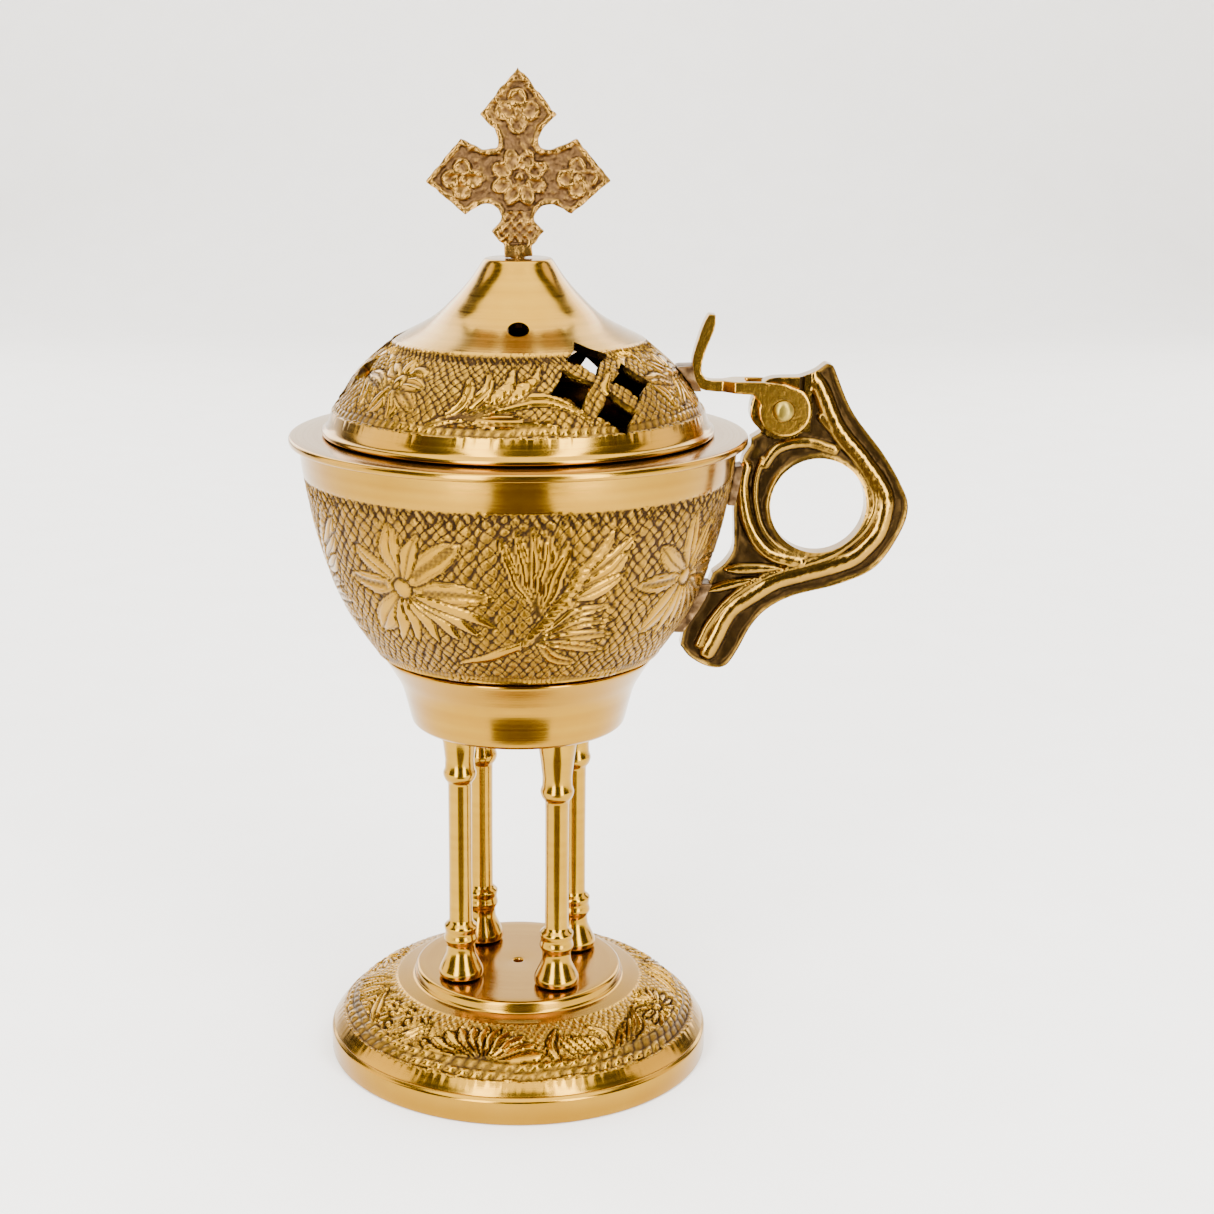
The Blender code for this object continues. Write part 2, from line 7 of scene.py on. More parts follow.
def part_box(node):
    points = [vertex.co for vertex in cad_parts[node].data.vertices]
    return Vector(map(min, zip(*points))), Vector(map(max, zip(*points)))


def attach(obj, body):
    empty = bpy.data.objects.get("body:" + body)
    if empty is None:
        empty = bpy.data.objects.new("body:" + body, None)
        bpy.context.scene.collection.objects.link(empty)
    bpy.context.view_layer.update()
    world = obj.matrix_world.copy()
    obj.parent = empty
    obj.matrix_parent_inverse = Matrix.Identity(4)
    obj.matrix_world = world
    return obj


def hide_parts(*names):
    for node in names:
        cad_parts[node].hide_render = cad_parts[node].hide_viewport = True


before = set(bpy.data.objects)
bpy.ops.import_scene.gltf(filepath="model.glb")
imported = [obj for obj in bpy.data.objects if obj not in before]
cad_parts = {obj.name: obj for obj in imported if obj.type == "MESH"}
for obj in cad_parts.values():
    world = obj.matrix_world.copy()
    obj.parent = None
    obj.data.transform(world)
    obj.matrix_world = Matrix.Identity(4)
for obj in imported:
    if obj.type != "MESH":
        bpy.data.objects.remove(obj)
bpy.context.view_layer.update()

# ---- Table, light and camera --------------------------------------------------------------------
# A pale matt table that curves up behind the censer, two tall soft boxes either side of the camera,
# a soft box overhead, and dark cards out of view that give the polished brass something to mirror.
MM = 0.001
LOW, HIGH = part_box("bowl")
AXIS_X = (LOW.x + HIGH.x) / 2            # upright axis of the bowl, lid and foot


def linear(hex_colour):
    """Linear colour of an sRGB hex value."""
    parts = [int(hex_colour[i:i + 2], 16) / 255 for i in (0, 2, 4)]
    return tuple(c / 12.92 if c <= 0.04045 else ((c + 0.055) / 1.055) ** 2.4 for c in parts) + (1.0,)


def feed(node, ins):
    """Gives each input of a node a value, or links another node's output to it."""
    for key, value in ins.items():
        if isinstance(value, bpy.types.NodeSocket):
            node.id_data.links.new(value, node.inputs[key])
        else:
            node.inputs[key].default_value = value


def add(tree, kind, ins=None, out=0, **settings):
    """Adds one node with its settings, feeds its inputs and returns one of its outputs."""
    made = tree.nodes.new("ShaderNode" + kind)
    for key, value in settings.items():
        setattr(made, key, value)
    feed(made, ins or {})
    return made.outputs[out]


def new_material(name):
    """An empty material with its shader; returns the material, its tree and the shader."""
    material = bpy.data.materials.new(name)
    material.use_nodes = True
    return material, material.node_tree, material.node_tree.nodes["Principled BSDF"]


def pick_up(piece):
    """Selects that piece alone and makes it the active one."""
    bpy.ops.object.select_all(action="DESELECT")
    piece.select_set(True)
    bpy.context.view_layer.objects.active = piece


def finish_with(piece, material):
    """Gives the piece that one material and smooth shading up to real edges."""
    piece.data.materials.clear()
    piece.data.materials.append(material)
    pick_up(piece)
    bpy.ops.object.shade_smooth_by_angle(angle=radians(38))


def new_blank(name, primitive, scale=(1, 1, 1), **sizes):
    """A new primitive, alone selected, with its place, turn and size put into its mesh."""
    bpy.ops.object.select_all(action="DESELECT")
    primitive(**sizes)
    piece = bpy.context.object
    piece.name = name
    piece.scale = scale
    bpy.ops.object.transform_apply(location=True, rotation=True, scale=True)
    return piece


def choose(piece, kind, wanted):
    """Goes into edit mode with only the wanted corners, edges or faces of the piece selected."""
    bpy.ops.object.mode_set(mode="EDIT")
    bpy.ops.mesh.select_mode(type=kind)
    bpy.ops.mesh.select_all(action="DESELECT")
    bpy.ops.object.mode_set(mode="OBJECT")
    mesh = piece.data
    for part in {"VERT": mesh.vertices, "EDGE": mesh.edges, "FACE": mesh.polygons}[kind]:
        part.select = wanted(part)
    bpy.ops.object.mode_set(mode="EDIT")


table = new_blank("table", bpy.ops.mesh.primitive_plane_add, size=1, location=(0, 0.40, 0))
bpy.ops.object.mode_set(mode="EDIT")
bpy.ops.transform.resize(value=(3.4, 1.64, 1), center_override=(0, 0.40, 0))
choose(table, "VERT", lambda corner: corner.co.y > 0.5)
for turn in range(9):
    tilt = radians(10 * turn + 5)
    bpy.ops.mesh.extrude_edges_move(TRANSFORM_OT_translate={"value": (0, 0.05 * cos(tilt), 0.05 * sin(tilt))})
bpy.ops.mesh.extrude_edges_move(TRANSFORM_OT_translate={"value": (0, 0, 1.1)})
bpy.ops.object.mode_set(mode="OBJECT")
paper, tree, shader = new_material("matt_white_paper")
grain = add(tree, "TexNoise", {"Vector": add(tree, "TexCoord", out="Object"), "Scale": 40.0})
tone = add(tree, "Mix", {0: grain, 6: linear("F6F4F0"), 7: linear("FBFAF8")}, out=2, data_type="RGBA")
feed(shader, {"Base Color": tone, "Roughness": 0.9, "Specular IOR Level": 0.1})
finish_with(table, paper)

# Pale paper all round, which other views look at; the brass doesn't mirror it
surround = new_blank("paper_surround", bpy.ops.mesh.primitive_cylinder_add, vertices=96, radius=2.5,
                     depth=2.8, location=(0, 0, 1.3985))
choose(surround, "FACE", lambda face: face.normal.z > 0.9)
bpy.ops.mesh.delete(type="FACE")
choose(surround, "EDGE", lambda edge: all(surround.data.vertices[i].co.z < 0.5 for i in edge.vertices))
bpy.ops.mesh.bevel(offset=0.6, segments=8)
bpy.ops.object.mode_set(mode="OBJECT")
finish_with(surround, paper)
surround.visible_glossy = False

AIM = Vector((AXIS_X, 0, 0.11))


def soft_box(name, azimuth, height, distance, size, watts, tint="FFFFFF", level=False):
    """An area light at an azimuth from the front (towards the handle is positive), facing the censer."""
    lamp = bpy.data.lights.new(name, "AREA")
    lamp.shape = "RECTANGLE"
    lamp.size, lamp.size_y = size
    lamp.energy = watts
    lamp.color = linear(tint)[:3]
    stand = bpy.data.objects.new(name, lamp)
    bpy.context.scene.collection.objects.link(stand)
    a = radians(azimuth)
    stand.location = (AIM.x + distance * sin(a), -distance * cos(a), height)
    target = Vector((AIM.x, 0, height)) if level else AIM
    stand.rotation_euler = (target - stand.location).to_track_quat("-Z", "Y").to_euler()
    stand.visible_camera = False


soft_box("left_box", -25, 0.42, 0.52, (0.17, 0.86), 8.2, level=True)
soft_box("right_box", 34, 0.42, 0.52, (0.15, 0.86), 7.4, level=True)
soft_box("left_fill", -95, 0.50, 1.20, (0.8, 1.2), 13, "FFF6EA")
soft_box("right_fill", 100, 0.60, 1.30, (0.7, 1.2), 9, "FFF1E2")
soft_box("top_box", 0, 1.45, 0.05, (1.8, 1.8), 58)
soft_box("back_left", -150, 0.7, 1.1, (0.5, 1.0), 9)
soft_box("back_right", 145, 0.7, 1.1, (0.5, 1.0), 9)


def only_mirrored(card):
    """The brass mirrors the card, and nothing else sees it or is shaded by it."""
    card.visible_camera = False
    card.visible_diffuse = False
    card.visible_shadow = False


cards = {"dark_card": (0, 0.34, 2.0, "1F1C10"), "brown_card": (58, 0.30, 1.6, "43200F"),
         "olive_card": (-62, 0.26, 1.6, "5B4A2B")}
CARD_GAP = 1.36                          # from the censer to each card
for card_name, (azimuth, wide, tall, shade) in cards.items():
    a = radians(azimuth)
    spot = (AIM.x + CARD_GAP * sin(a), -CARD_GAP * cos(a), 0.15)
    card = new_blank(card_name, bpy.ops.mesh.primitive_plane_add, (wide, tall, 1), size=1,
                     rotation=(pi / 2, 0, a), location=spot)
    bpy.ops.object.mode_set(mode="EDIT")
    bpy.ops.mesh.subdivide(number_cuts=2)
    bpy.ops.object.mode_set(mode="OBJECT")
    felt, tree, shader = new_material("dyed_felt_" + card_name)
    fuzz = add(tree, "TexNoise", {"Vector": add(tree, "TexCoord", out="Object"), "Scale": 30.0})
    tone = add(tree, "Mix", {0: fuzz, 6: linear(shade), 7: linear("0C0A06")}, out=2, data_type="RGBA")
    feed(shader, {"Base Color": tone, "Roughness": 1.0})
    finish_with(card, felt)
    only_mirrored(card)

room = bpy.data.worlds.new("pale_room")
bpy.context.scene.world = room
room.use_nodes = True
feed(room.node_tree.nodes["Background"], {"Color": linear("F1E6D6"), "Strength": 0.19})

# A dark felt mat on the table between the camera and the foot, just below the view
mat = new_blank("dark_mat", bpy.ops.mesh.primitive_plane_add, (0.30, 0.67, 1), size=1,
                location=(AXIS_X + 0.01, -0.42, 0.001))
choose(mat, "VERT", lambda corner: corner.co.y > -0.42)
bpy.ops.transform.resize(value=(0.35, 1, 1), center_override=(AXIS_X, -0.085, 0))
bpy.ops.object.mode_set(mode="OBJECT")
finish_with(mat, felt)
only_mirrored(mat)

lens = bpy.data.cameras.new("camera")
lens.lens = 65.03
lens.sensor_width = 36
lens.shift_x = 0.0731
camera = bpy.data.objects.new("camera", lens)
bpy.context.scene.collection.objects.link(camera)
camera.location = (AXIS_X, -0.4541, 0.2170)
camera.rotation_euler = (radians(90 - 14.42), 0, 0)
bpy.context.scene.camera = camera

# ---- Foot ----------------------------------------------------------------------------------------
# A spun and turned brass dish with a flat disc on top. Its sloping shoulder is chased with fans,
# buds and leaves over a border of small nuggets; the disc, the slanted band and the rim are polished.


def smooth_run(points, spacing):
    """Points a spacing apart (mm) along a smooth curve through the given points."""
    given = [Vector(p) for p in points]
    ends = [2 * given[0] - given[1]] + given + [2 * given[-1] - given[-2]]
    out = []
    for a, b, c, d in zip(ends, ends[1:], ends[2:], ends[3:]):
        cuts = max(1, ceil((c - b).length / spacing))
        for i in range(cuts):
            t = i / cuts
            p = 2 * b + (c - a) * t + (2 * a - 5 * b + 4 * c - d) * t * t + (3 * b - a - 3 * c + d) * t ** 3
            out.append(tuple(p / 2))
    return out + [tuple(given[-1])]


def eased(points, radius):
    """Rounds each real corner of a profile, as an abrasive does; its two ends stay."""
    out = [points[0]]
    for before, p, after in zip(points, points[1:], points[2:]):
        p = Vector(p)
        back, on = Vector(before) - p, Vector(after) - p
        if back.length < 1e-6 or on.length < 1e-6 or back.angle(on) > radians(158):
            out.append(tuple(p))
            continue
        one = p + back.normalized() * min(radius, 0.4 * back.length)
        two = p + on.normalized() * min(radius, 0.4 * on.length)
        out += [tuple(one), tuple(one * 0.25 + p * 0.5 + two * 0.25), tuple(two)]
    return out + [points[-1]]


def turned(name, profile, steps, centre=(AXIS_X, 0.0), across=False):
    """A point is drawn out along the profile (radius, height in mm) and spun round its axis.
    The axis stands upright at centre (x, y), or lies along Y at centre (x, z)."""
    def place(r, h):
        return (centre[0] + r * MM, h * MM, centre[1]) if across else (centre[0] + r * MM, centre[1], h * MM)
    blank = new_blank(name, bpy.ops.mesh.primitive_plane_add, size=MM, location=place(*profile[0]))
    bpy.ops.object.mode_set(mode="EDIT")
    bpy.ops.mesh.select_mode(type="VERT")
    bpy.ops.mesh.merge(type="CENTER")
    for start, end in zip(profile, profile[1:]):
        step = Vector(place(*end)) - Vector(place(*start))
        bpy.ops.mesh.extrude_vertices_move(TRANSFORM_OT_translate={"value": step})
    bpy.ops.mesh.select_all(action="SELECT")
    axis = (0, 1, 0) if across else (0, 0, 1)
    bpy.ops.mesh.spin(steps=steps, angle=2 * pi, center=place(0, 0), axis=axis)
    bpy.ops.mesh.select_all(action="SELECT")
    bpy.ops.mesh.remove_doubles(threshold=0.002 * MM)
    bpy.ops.mesh.normals_make_consistent(inside=False)
    bpy.ops.object.mode_set(mode="OBJECT")
    return blank


def corners(piece):
    """Points of a piece in mm as an array, one row each."""
    co = np.empty(len(piece.data.vertices) * 3)
    piece.data.vertices.foreach_get("co", co)
    return co.reshape(-1, 3) / MM


def move_corners(piece, co):
    """Puts a piece's points at the places given in mm."""
    piece.data.vertices.foreach_set("co", (co * MM).ravel())
    piece.data.update()


HATCH_COUNT = 112                        # crossed cuts each way round a piece, 1.7 mm apart on the bowl
EDGE_CUT = 0.42                          # width of the cut round a leaf, mm


class Chasing:
    """The engraver's work on one turned wall, laid out flat: x runs round (mm at the layout radius),
    y is the distance down the wall from the top of the work. depth is 0 untouched to 1 deepest."""

    def __init__(self, piece, wall, layout_r, repeats):
        self.piece = piece
        self.layout_r = layout_r
        self.period = 2 * pi * layout_r / repeats
        wall = np.array(wall)
        run = np.concatenate([[0], np.cumsum(np.hypot(*np.diff(wall, axis=0).T))])
        self.length = run[-1]
        co = corners(piece)
        x, y = co[:, 0] - AXIS_X / MM, co[:, 1]
        r, z = np.hypot(x, y), co[:, 2]
        self.around = np.arctan2(x, -y)
        up = wall[::-1]
        self.down = np.interp(z, up[:, 1], run[::-1])
        skin = np.abs(r - np.interp(z, up[:, 1], up[:, 0])) < 0.35
        self.index = np.where(skin & (z <= up[-1, 1] + 0.01) & (z >= up[0, 1] - 0.01))[0]
        a, v = self.around[self.index], self.down[self.index]
        self.x, self.y = a * layout_r, v
        # A hand never holds a line quite straight: the layout wanders by a few tenths of a mm.
        self.wx = self.x + 0.22 * np.sin(0.51 * v + 5 * a) + 0.16 * np.sin(11 * a + 0.9 * v)
        self.wy = self.y + 0.22 * np.sin(7 * a + 0.4 * v) + 0.14 * np.sin(17 * a - 0.7 * v)
        self.depth = np.zeros(len(self.index))
        self.ground = np.ones(len(self.index))
        self.shifts = []

    def near(self, x, y, reach):
        """Which points lie within reach of a place, and their offsets, the layout repeating round."""
        dx = (self.wx - x + self.period / 2) % self.period - self.period / 2
        dy = self.wy - y
        pick = np.where((np.abs(dx) < reach) & (np.abs(dy) < reach))[0]
        return pick, dx[pick], dy[pick]

    def hatch(self, tall, deepest=0.85):
        """Crossed cuts, HATCH_COUNT each way round and tall mm apart down the wall."""
        a = self.around[self.index]
        for sign in (-1, 1):
            shift = sign * self.wy / tall + 0.12 * np.sin(0.8 * self.wy + 9 * a) + 0.5
            shift = shift + 0.10 * np.sin(2.1 * self.wy + sign * 1.3 * self.wx) + 0.07 * np.sin(1.7 * self.wx)
            self.shifts.append(shift)
            off = np.abs((a * HATCH_COUNT / (2 * pi) + shift) % 1 - 0.5)
            self.depth = self.depth + deepest * 0.62 * np.clip(1 - off / 0.21, 0, 1)
        self.depth = np.clip(self.depth, 0, 1)

    def blade(self, spine, width, vein="", belly=0.5):
        """A leaf or petal along a curved spine (three or more points), half width in mm.
        Its edge is cut round, twice on a broad one; vein is a line, punched dots or slanting rays."""
        span = hypot(spine[0][0] - spine[-1][0], spine[0][1] - spine[-1][1])
        path = np.array(smooth_run(spine, max(0.8, span / 9)))
        middle = path.mean(axis=0)
        reach = np.abs(path - middle).max() + width + 1.5
        pick, dx, dy = self.near(middle[0], middle[1], reach)
        if not len(pick):
            return
        path = path - middle
        step = np.hypot(*np.diff(path, axis=0).T)
        total = step.sum()
        best = np.full(len(pick), 1e9)
        along = np.zeros(len(pick))
        side = np.zeros(len(pick))
        gone = 0.0
        for (x0, y0), (x1, y1), size in zip(path, path[1:], step):
            ex, ey = (x1 - x0) / size, (y1 - y0) / size
            t = np.clip((dx - x0) * ex + (dy - y0) * ey, 0, size)
            off = np.hypot(dx - x0 - t * ex, dy - y0 - t * ey)
            closer = off < best
            best = np.where(closer, off, best)
            along = np.where(closer, (gone + t) / total, along)
            side = np.where(closer, ex * (dy - y0) - ey * (dx - x0), side)
            gone += size
        wide = width * np.sin(pi * np.clip(along, 0, 1) ** (0.5 / belly)) ** 0.62
        inside = wide - best
        body = inside > 0
        edge = (inside > -EDGE_CUT) & ~body
        at = pick[edge]
        self.depth[at] = np.maximum(self.depth[at], 0.95 - 0.5 * np.abs(inside[edge] + 0.1) / EDGE_CUT)
        fill = 0.30 * np.clip(1 - inside / (0.5 * width + 0.1), 0, 1) ** 2
        if width > 1.9:
            fill = np.maximum(fill, 0.5 * np.clip(1 - np.abs(inside - 0.62) / 0.3, 0, 1))
        if vein == "line":
            fill = np.maximum(fill, 0.75 * np.clip(1 - best / 0.42, 0, 1))
        if vein == "dots":
            spot = 0.5 + 0.5 * np.sin(along * total * 4.2) * np.cos(side * 5.0)
            band = np.clip(1.6 - best / (0.26 * width), 0, 1) * (along > 0.15) * (along < 0.9)
            fill = np.maximum(fill, band * (0.40 + 0.5 * spot))
        if vein == "rays":
            ray = np.clip(np.sin((along * total + 0.9 * np.abs(side)) * 3.4) - 0.25, 0, 1)
            fill = np.maximum(fill, 0.75 * ray * np.clip(best / 0.3, 0, 1))
        at = pick[body]
        self.depth[at] = fill[body]
        self.ground[at] = 0
        self.ground[pick[edge]] *= 0.4

    def cut(self, points, width):
        """A single graver line through the points."""
        path = np.array(points, float)
        middle = path.mean(axis=0)
        pick, dx, dy = self.near(middle[0], middle[1], np.abs(path - middle).max() + width + 0.5)
        best = np.full(len(pick), 1e9)
        for (x0, y0), (x1, y1) in zip(path - middle, path[1:] - middle):
            size = hypot(x1 - x0, y1 - y0)
            t = np.clip(((dx - x0) * (x1 - x0) + (dy - y0) * (y1 - y0)) / size ** 2, 0, 1)
            best = np.minimum(best, np.hypot(dx - x0 - t * (x1 - x0), dy - y0 - t * (y1 - y0)))
        groove = np.clip(1.3 - best / width, 0, 1)
        self.depth[pick] = np.maximum(self.depth[pick], groove)

    def boss(self, x, y, radius):
        """A small round knob left standing, with a cut round it."""
        pick, dx, dy = self.near(x, y, radius + 1)
        gap = radius - np.hypot(dx, dy)
        rim = (gap > -0.45) & (gap <= 0)
        self.depth[pick[rim]] = 0.95
        body = gap > 0
        self.depth[pick[body]] = 0.35 * np.clip(1 - gap[body] / radius, 0, 1) ** 2
        self.ground[pick[body]] = 0

    def nuggets(self, top, rows, pitch, tall):
        """Border of small raised lumps between short cuts, in rows from the given height down."""
        count = round(2 * pi * self.layout_r / pitch)
        a = self.around[self.index]
        for row in range(rows):
            v = (self.wy - top - row * tall) / tall
            phase = a * count / (2 * pi) + 0.5 * row + 0.35 * v    # each lump leans a little
            cell = np.abs((phase % 1) - 0.5) * 2
            lump = np.clip(1 - cell ** 2.5, 0, 1) * np.clip(1 - np.abs(2 * v - 1) ** 3, 0, 1)
            in_row = (v >= 0) & (v < 1)
            odd = 0.72 + 0.28 * np.sin(12.9898 * np.floor(phase) + 4.1 * row)
            self.depth[in_row] = 0.8 * (1 - lump * odd)[in_row]
            self.ground[in_row] = 0.12

    def sink(self, deepest):
        """Cuts the metal (deepest in mm) and leaves the depth and the layout for the finish."""
        fade = np.clip(np.minimum(self.y, self.length - self.y) / 0.5, 0, 1)
        depth = np.zeros(len(self.piece.data.vertices))
        depth[self.index] = np.clip(self.depth, 0, 1) * fade
        ground = np.zeros(len(depth))
        ground[self.index] = self.ground * fade
        mesh = self.piece.data
        layers = {"depth": depth, "ground": ground}
        for name, shift in zip(("lay_a", "lay_b"), self.shifts):
            layers[name] = np.zeros(len(depth))
            layers[name][self.index] = shift
        for name, values in layers.items():
            mesh.attributes.new(name, "FLOAT", "POINT").data.foreach_set("value", values)
        weights = self.piece.vertex_groups.new(name="cut")
        for i in np.where(depth > 0.002)[0].tolist():
            weights.add([i], depth[i], "REPLACE")
        pick_up(self.piece)
        press = self.piece.modifiers.new("graver", "DISPLACE")
        press.direction = "NORMAL"
        press.mid_level = 0
        press.strength = -deepest * MM
        press.vertex_group = "cut"
        bpy.ops.object.modifier_apply(modifier="graver")
        self.piece.vertex_groups.clear()


def brass_on_lathe(name, gold, pale, worn, upright=True):
    """Turned brass, polished while it spins: mirror-like, with fine level lines round the axis that
    draw each highlight out, slight tarnish in patches, and dark patina wherever the graver has cut."""
    material, tree, shader = new_material(name)
    place = add(tree, "TexCoord", out="Object")
    centred = add(tree, "Mapping", {"Vector": place, "Location": (-AXIS_X, 0, 0)})
    axes = add(tree, "SeparateXYZ", {0: centred}).node.outputs
    flat = add(tree, "VectorMath", {0: centred, 1: (1, 1, 0)}, operation="MULTIPLY")
    radius = add(tree, "VectorMath", {0: flat}, out="Value", operation="LENGTH")
    if not upright:
        radius = axes[2]
    ring = add(tree, "CombineXYZ", {0: radius, 1: axes[2]})
    lines = add(tree, "TexNoise", {"Vector": ring, "Scale": 2600.0, "Detail": 3.0, "Roughness": 0.65},
                noise_dimensions="2D")
    broad = add(tree, "TexNoise", {"Vector": ring, "Scale": 420.0, "Detail": 1.0},
                noise_dimensions="2D")
    patch = add(tree, "TexNoise", {"Vector": place, "Scale": 55.0, "Detail": 4.0,
                                   "Roughness": 0.6})
    fine = add(tree, "TexNoise", {"Vector": place, "Scale": 900.0, "Detail": 3.0})
    depth = add(tree, "Attribute", out="Fac", attribute_name="depth")
    ground = add(tree, "Attribute", out="Fac", attribute_name="ground")
    # Crossed cuts about 1.7 mm apart, with the punched pits where they meet
    ahead = add(tree, "Math", {0: axes[1], 1: -1.0}, operation="MULTIPLY")
    round_axis = add(tree, "Math", {0: axes[0], 1: ahead}, operation="ARCTAN2")
    cuts = []
    for layer in ("lay_a", "lay_b"):
        shift = add(tree, "Attribute", out="Fac", attribute_name=layer)
        phase = add(tree, "Math", {0: round_axis, 1: HATCH_COUNT / (2 * pi), 2: shift},
                    operation="MULTIPLY_ADD")
        part = add(tree, "Math", {0: phase}, operation="FRACT")
        off = add(tree, "Math", {0: part, 1: 0.5}, operation="SUBTRACT")
        off = add(tree, "Math", {0: off}, operation="ABSOLUTE")
        cuts.append(add(tree, "MapRange", {0: off, 1: 0.03, 2: 0.17, 3: 1.0, 4: 0.0}))
    either = add(tree, "Math", {0: cuts[0], 1: cuts[1]}, operation="MAXIMUM")
    both = add(tree, "Math", {0: cuts[0], 1: cuts[1]}, operation="MULTIPLY")
    mesh_cut = add(tree, "Math", {0: both, 1: 0.9, 2: either}, operation="MULTIPLY_ADD")
    ragged = add(tree, "MapRange", {0: fine, 1: 0.36, 2: 0.60, 3: 0.15, 4: 1.0})
    mesh_cut = add(tree, "Math", {0: mesh_cut, 1: ragged}, operation="MULTIPLY")
    mesh_cut = add(tree, "Math", {0: mesh_cut, 1: ground}, operation="MULTIPLY")
    dirt = add(tree, "MapRange", {0: depth, 1: 0.10, 2: 0.75, 3: 0.0, 4: 0.95})
    dirt = add(tree, "Math", {0: mesh_cut, 1: 0.58, 2: dirt}, operation="MULTIPLY_ADD")
    film = add(tree, "MapRange", {0: fine, 1: 0.40, 2: 0.62, 3: 0.42, 4: 0.08})
    dirt = add(tree, "Math", {0: ground, 1: film, 2: dirt}, operation="MULTIPLY_ADD")
    grime = add(tree, "MapRange", {0: patch, 1: 0.3, 2: 0.7, 3: 0.72, 4: 1.12})
    dirt = add(tree, "Math", {0: dirt, 1: grime}, operation="MULTIPLY", use_clamp=True)
    patch_amount = add(tree, "MapRange", {0: patch, 1: 0.35, 2: 0.75, 3: 0.0, 4: 0.6})
    bright = add(tree, "Mix", {0: patch_amount, 6: linear(gold), 7: linear(pale)},
                 out=2, data_type="RGBA")
    streak = add(tree, "MapRange", {0: broad, 1: 0.35, 2: 0.7, 3: 0.0, 4: 0.35})
    bright = add(tree, "Mix", {0: streak, 6: bright, 7: linear(worn)}, out=2, data_type="RGBA")
    cut_tone = add(tree, "Mix", {0: patch, 6: linear("271C09"), 7: linear("402C1A")},
                   out=2, data_type="RGBA")
    colour = add(tree, "Mix", {0: dirt, 6: bright, 7: cut_tone}, out=2, data_type="RGBA")
    rough = add(tree, "MapRange", {0: lines, 1: 0.2, 2: 0.8, 3: 0.10, 4: 0.24})
    rough = add(tree, "Math", {0: dirt, 1: 0.30, 2: rough}, operation="MULTIPLY_ADD")
    worked = add(tree, "Math", {0: ground, 1: 0.10, 2: rough}, operation="MULTIPLY_ADD")
    height = add(tree, "Math", {0: lines, 1: 0.045}, operation="MULTIPLY")
    sunk = add(tree, "Math", {0: mesh_cut, 1: -0.9, 2: height}, operation="MULTIPLY_ADD")
    pits = add(tree, "Math", {0: fine, 1: ground}, operation="MULTIPLY")
    sunk = add(tree, "Math", {0: pits, 1: 1.3, 2: sunk}, operation="MULTIPLY_ADD")
    bump = add(tree, "Bump", {"Height": sunk, "Distance": 0.00016, "Strength": 0.9})
    feed(shader, {"Base Color": colour, "Metallic": 1.0, "Roughness": worked, "Normal": bump})
    return material


TURNED = brass_on_lathe("polished_turned_brass", "9E741A", "AB842B", "8C6311")

FOOT_TOP = [(26.9, 16.1), (31.0, 14.7), (35.6, 12.0), (39.2, 8.5)]
shoulder = smooth_run(FOOT_TOP, 0.36)
foot_rim = [(41.0, 6.2), (40.8, 5.8), (41.6, 5.3), (41.6, 0.4), (41.2, 0), (38.3, 0), (38.0, 0.4)]
foot_inside = [(38.0, 5.0), (36.6, 8.0), (33.9, 10.4), (30.0, 12.4), (25.5, 13.7), (20.6, 14.0), (20.2, 14.4),
               (20.2, 16.6), (0, 16.6)]
disc = [(0, 17.1), (0.95, 17.4), (1.05, 18.8), (1.4, 19.0), (7, 19.0), (14, 19.0), (20, 19.0), (22.2, 19.0),
        (22.7, 18.5), (22.9, 16.8), (23.3, 16.5), (26.6, 16.15)]
foot = turned("foot", eased(disc, 0.3) + shoulder + eased(foot_rim, 0.3) + foot_inside, 560)
work = Chasing(foot, shoulder, 33.0, 2)
FOOT_DEGREE = radians(1) * 33.0          # mm round the layout for each degree
work.hatch(2.1, 0.42)
work.ground *= 0.55


def foot_leaf(a, v, spine, width, vein="", belly=0.5):
    """A blade whose spine is given as offsets in mm from a place at azimuth a, v mm down."""
    work.blade([(a * FOOT_DEGREE + x, v + y) for x, y in spine], width, vein, belly)


# Fan of eleven flutes spreading up from the border, then a stippled gap and a ribbed bud
for flute in range(11):
    lean = radians(-78 + 15.2 * flute)
    foot_leaf(-13.0, 11.0, [(1.0 * sin(lean), -0.8 * cos(lean)), (6.2 * sin(lean), -5.4 * cos(lean)),
                            (13.2 * sin(lean), -10.2 * cos(lean))], 1.25, "", 0.25)
for rib in range(5):
    foot_leaf(22.0, 6.2, [(-3.6 + 1.6 * rib, -3.0 + 0.5 * rib), (-2.4 + 1.6 * rib, 0.2),
                          (-0.4 + 1.6 * rib, 3.6)], 0.75)
foot_leaf(14.5, 6.5, [(0.0, 5.0), (-1.6, 0.0), (1.0, -4.6)], 0.9)
foot_leaf(31.5, 6.5, [(1.2, 5.0), (1.6, 0.0), (-1.4, -4.2)], 0.9)
for leaf in range(4):
    foot_leaf(39.0 + 4.0 * leaf, 8.8 - 0.8 * leaf, [(-3.0, 2.6), (0.0, 0.5), (3.4, -3.4)], 1.0, "line")
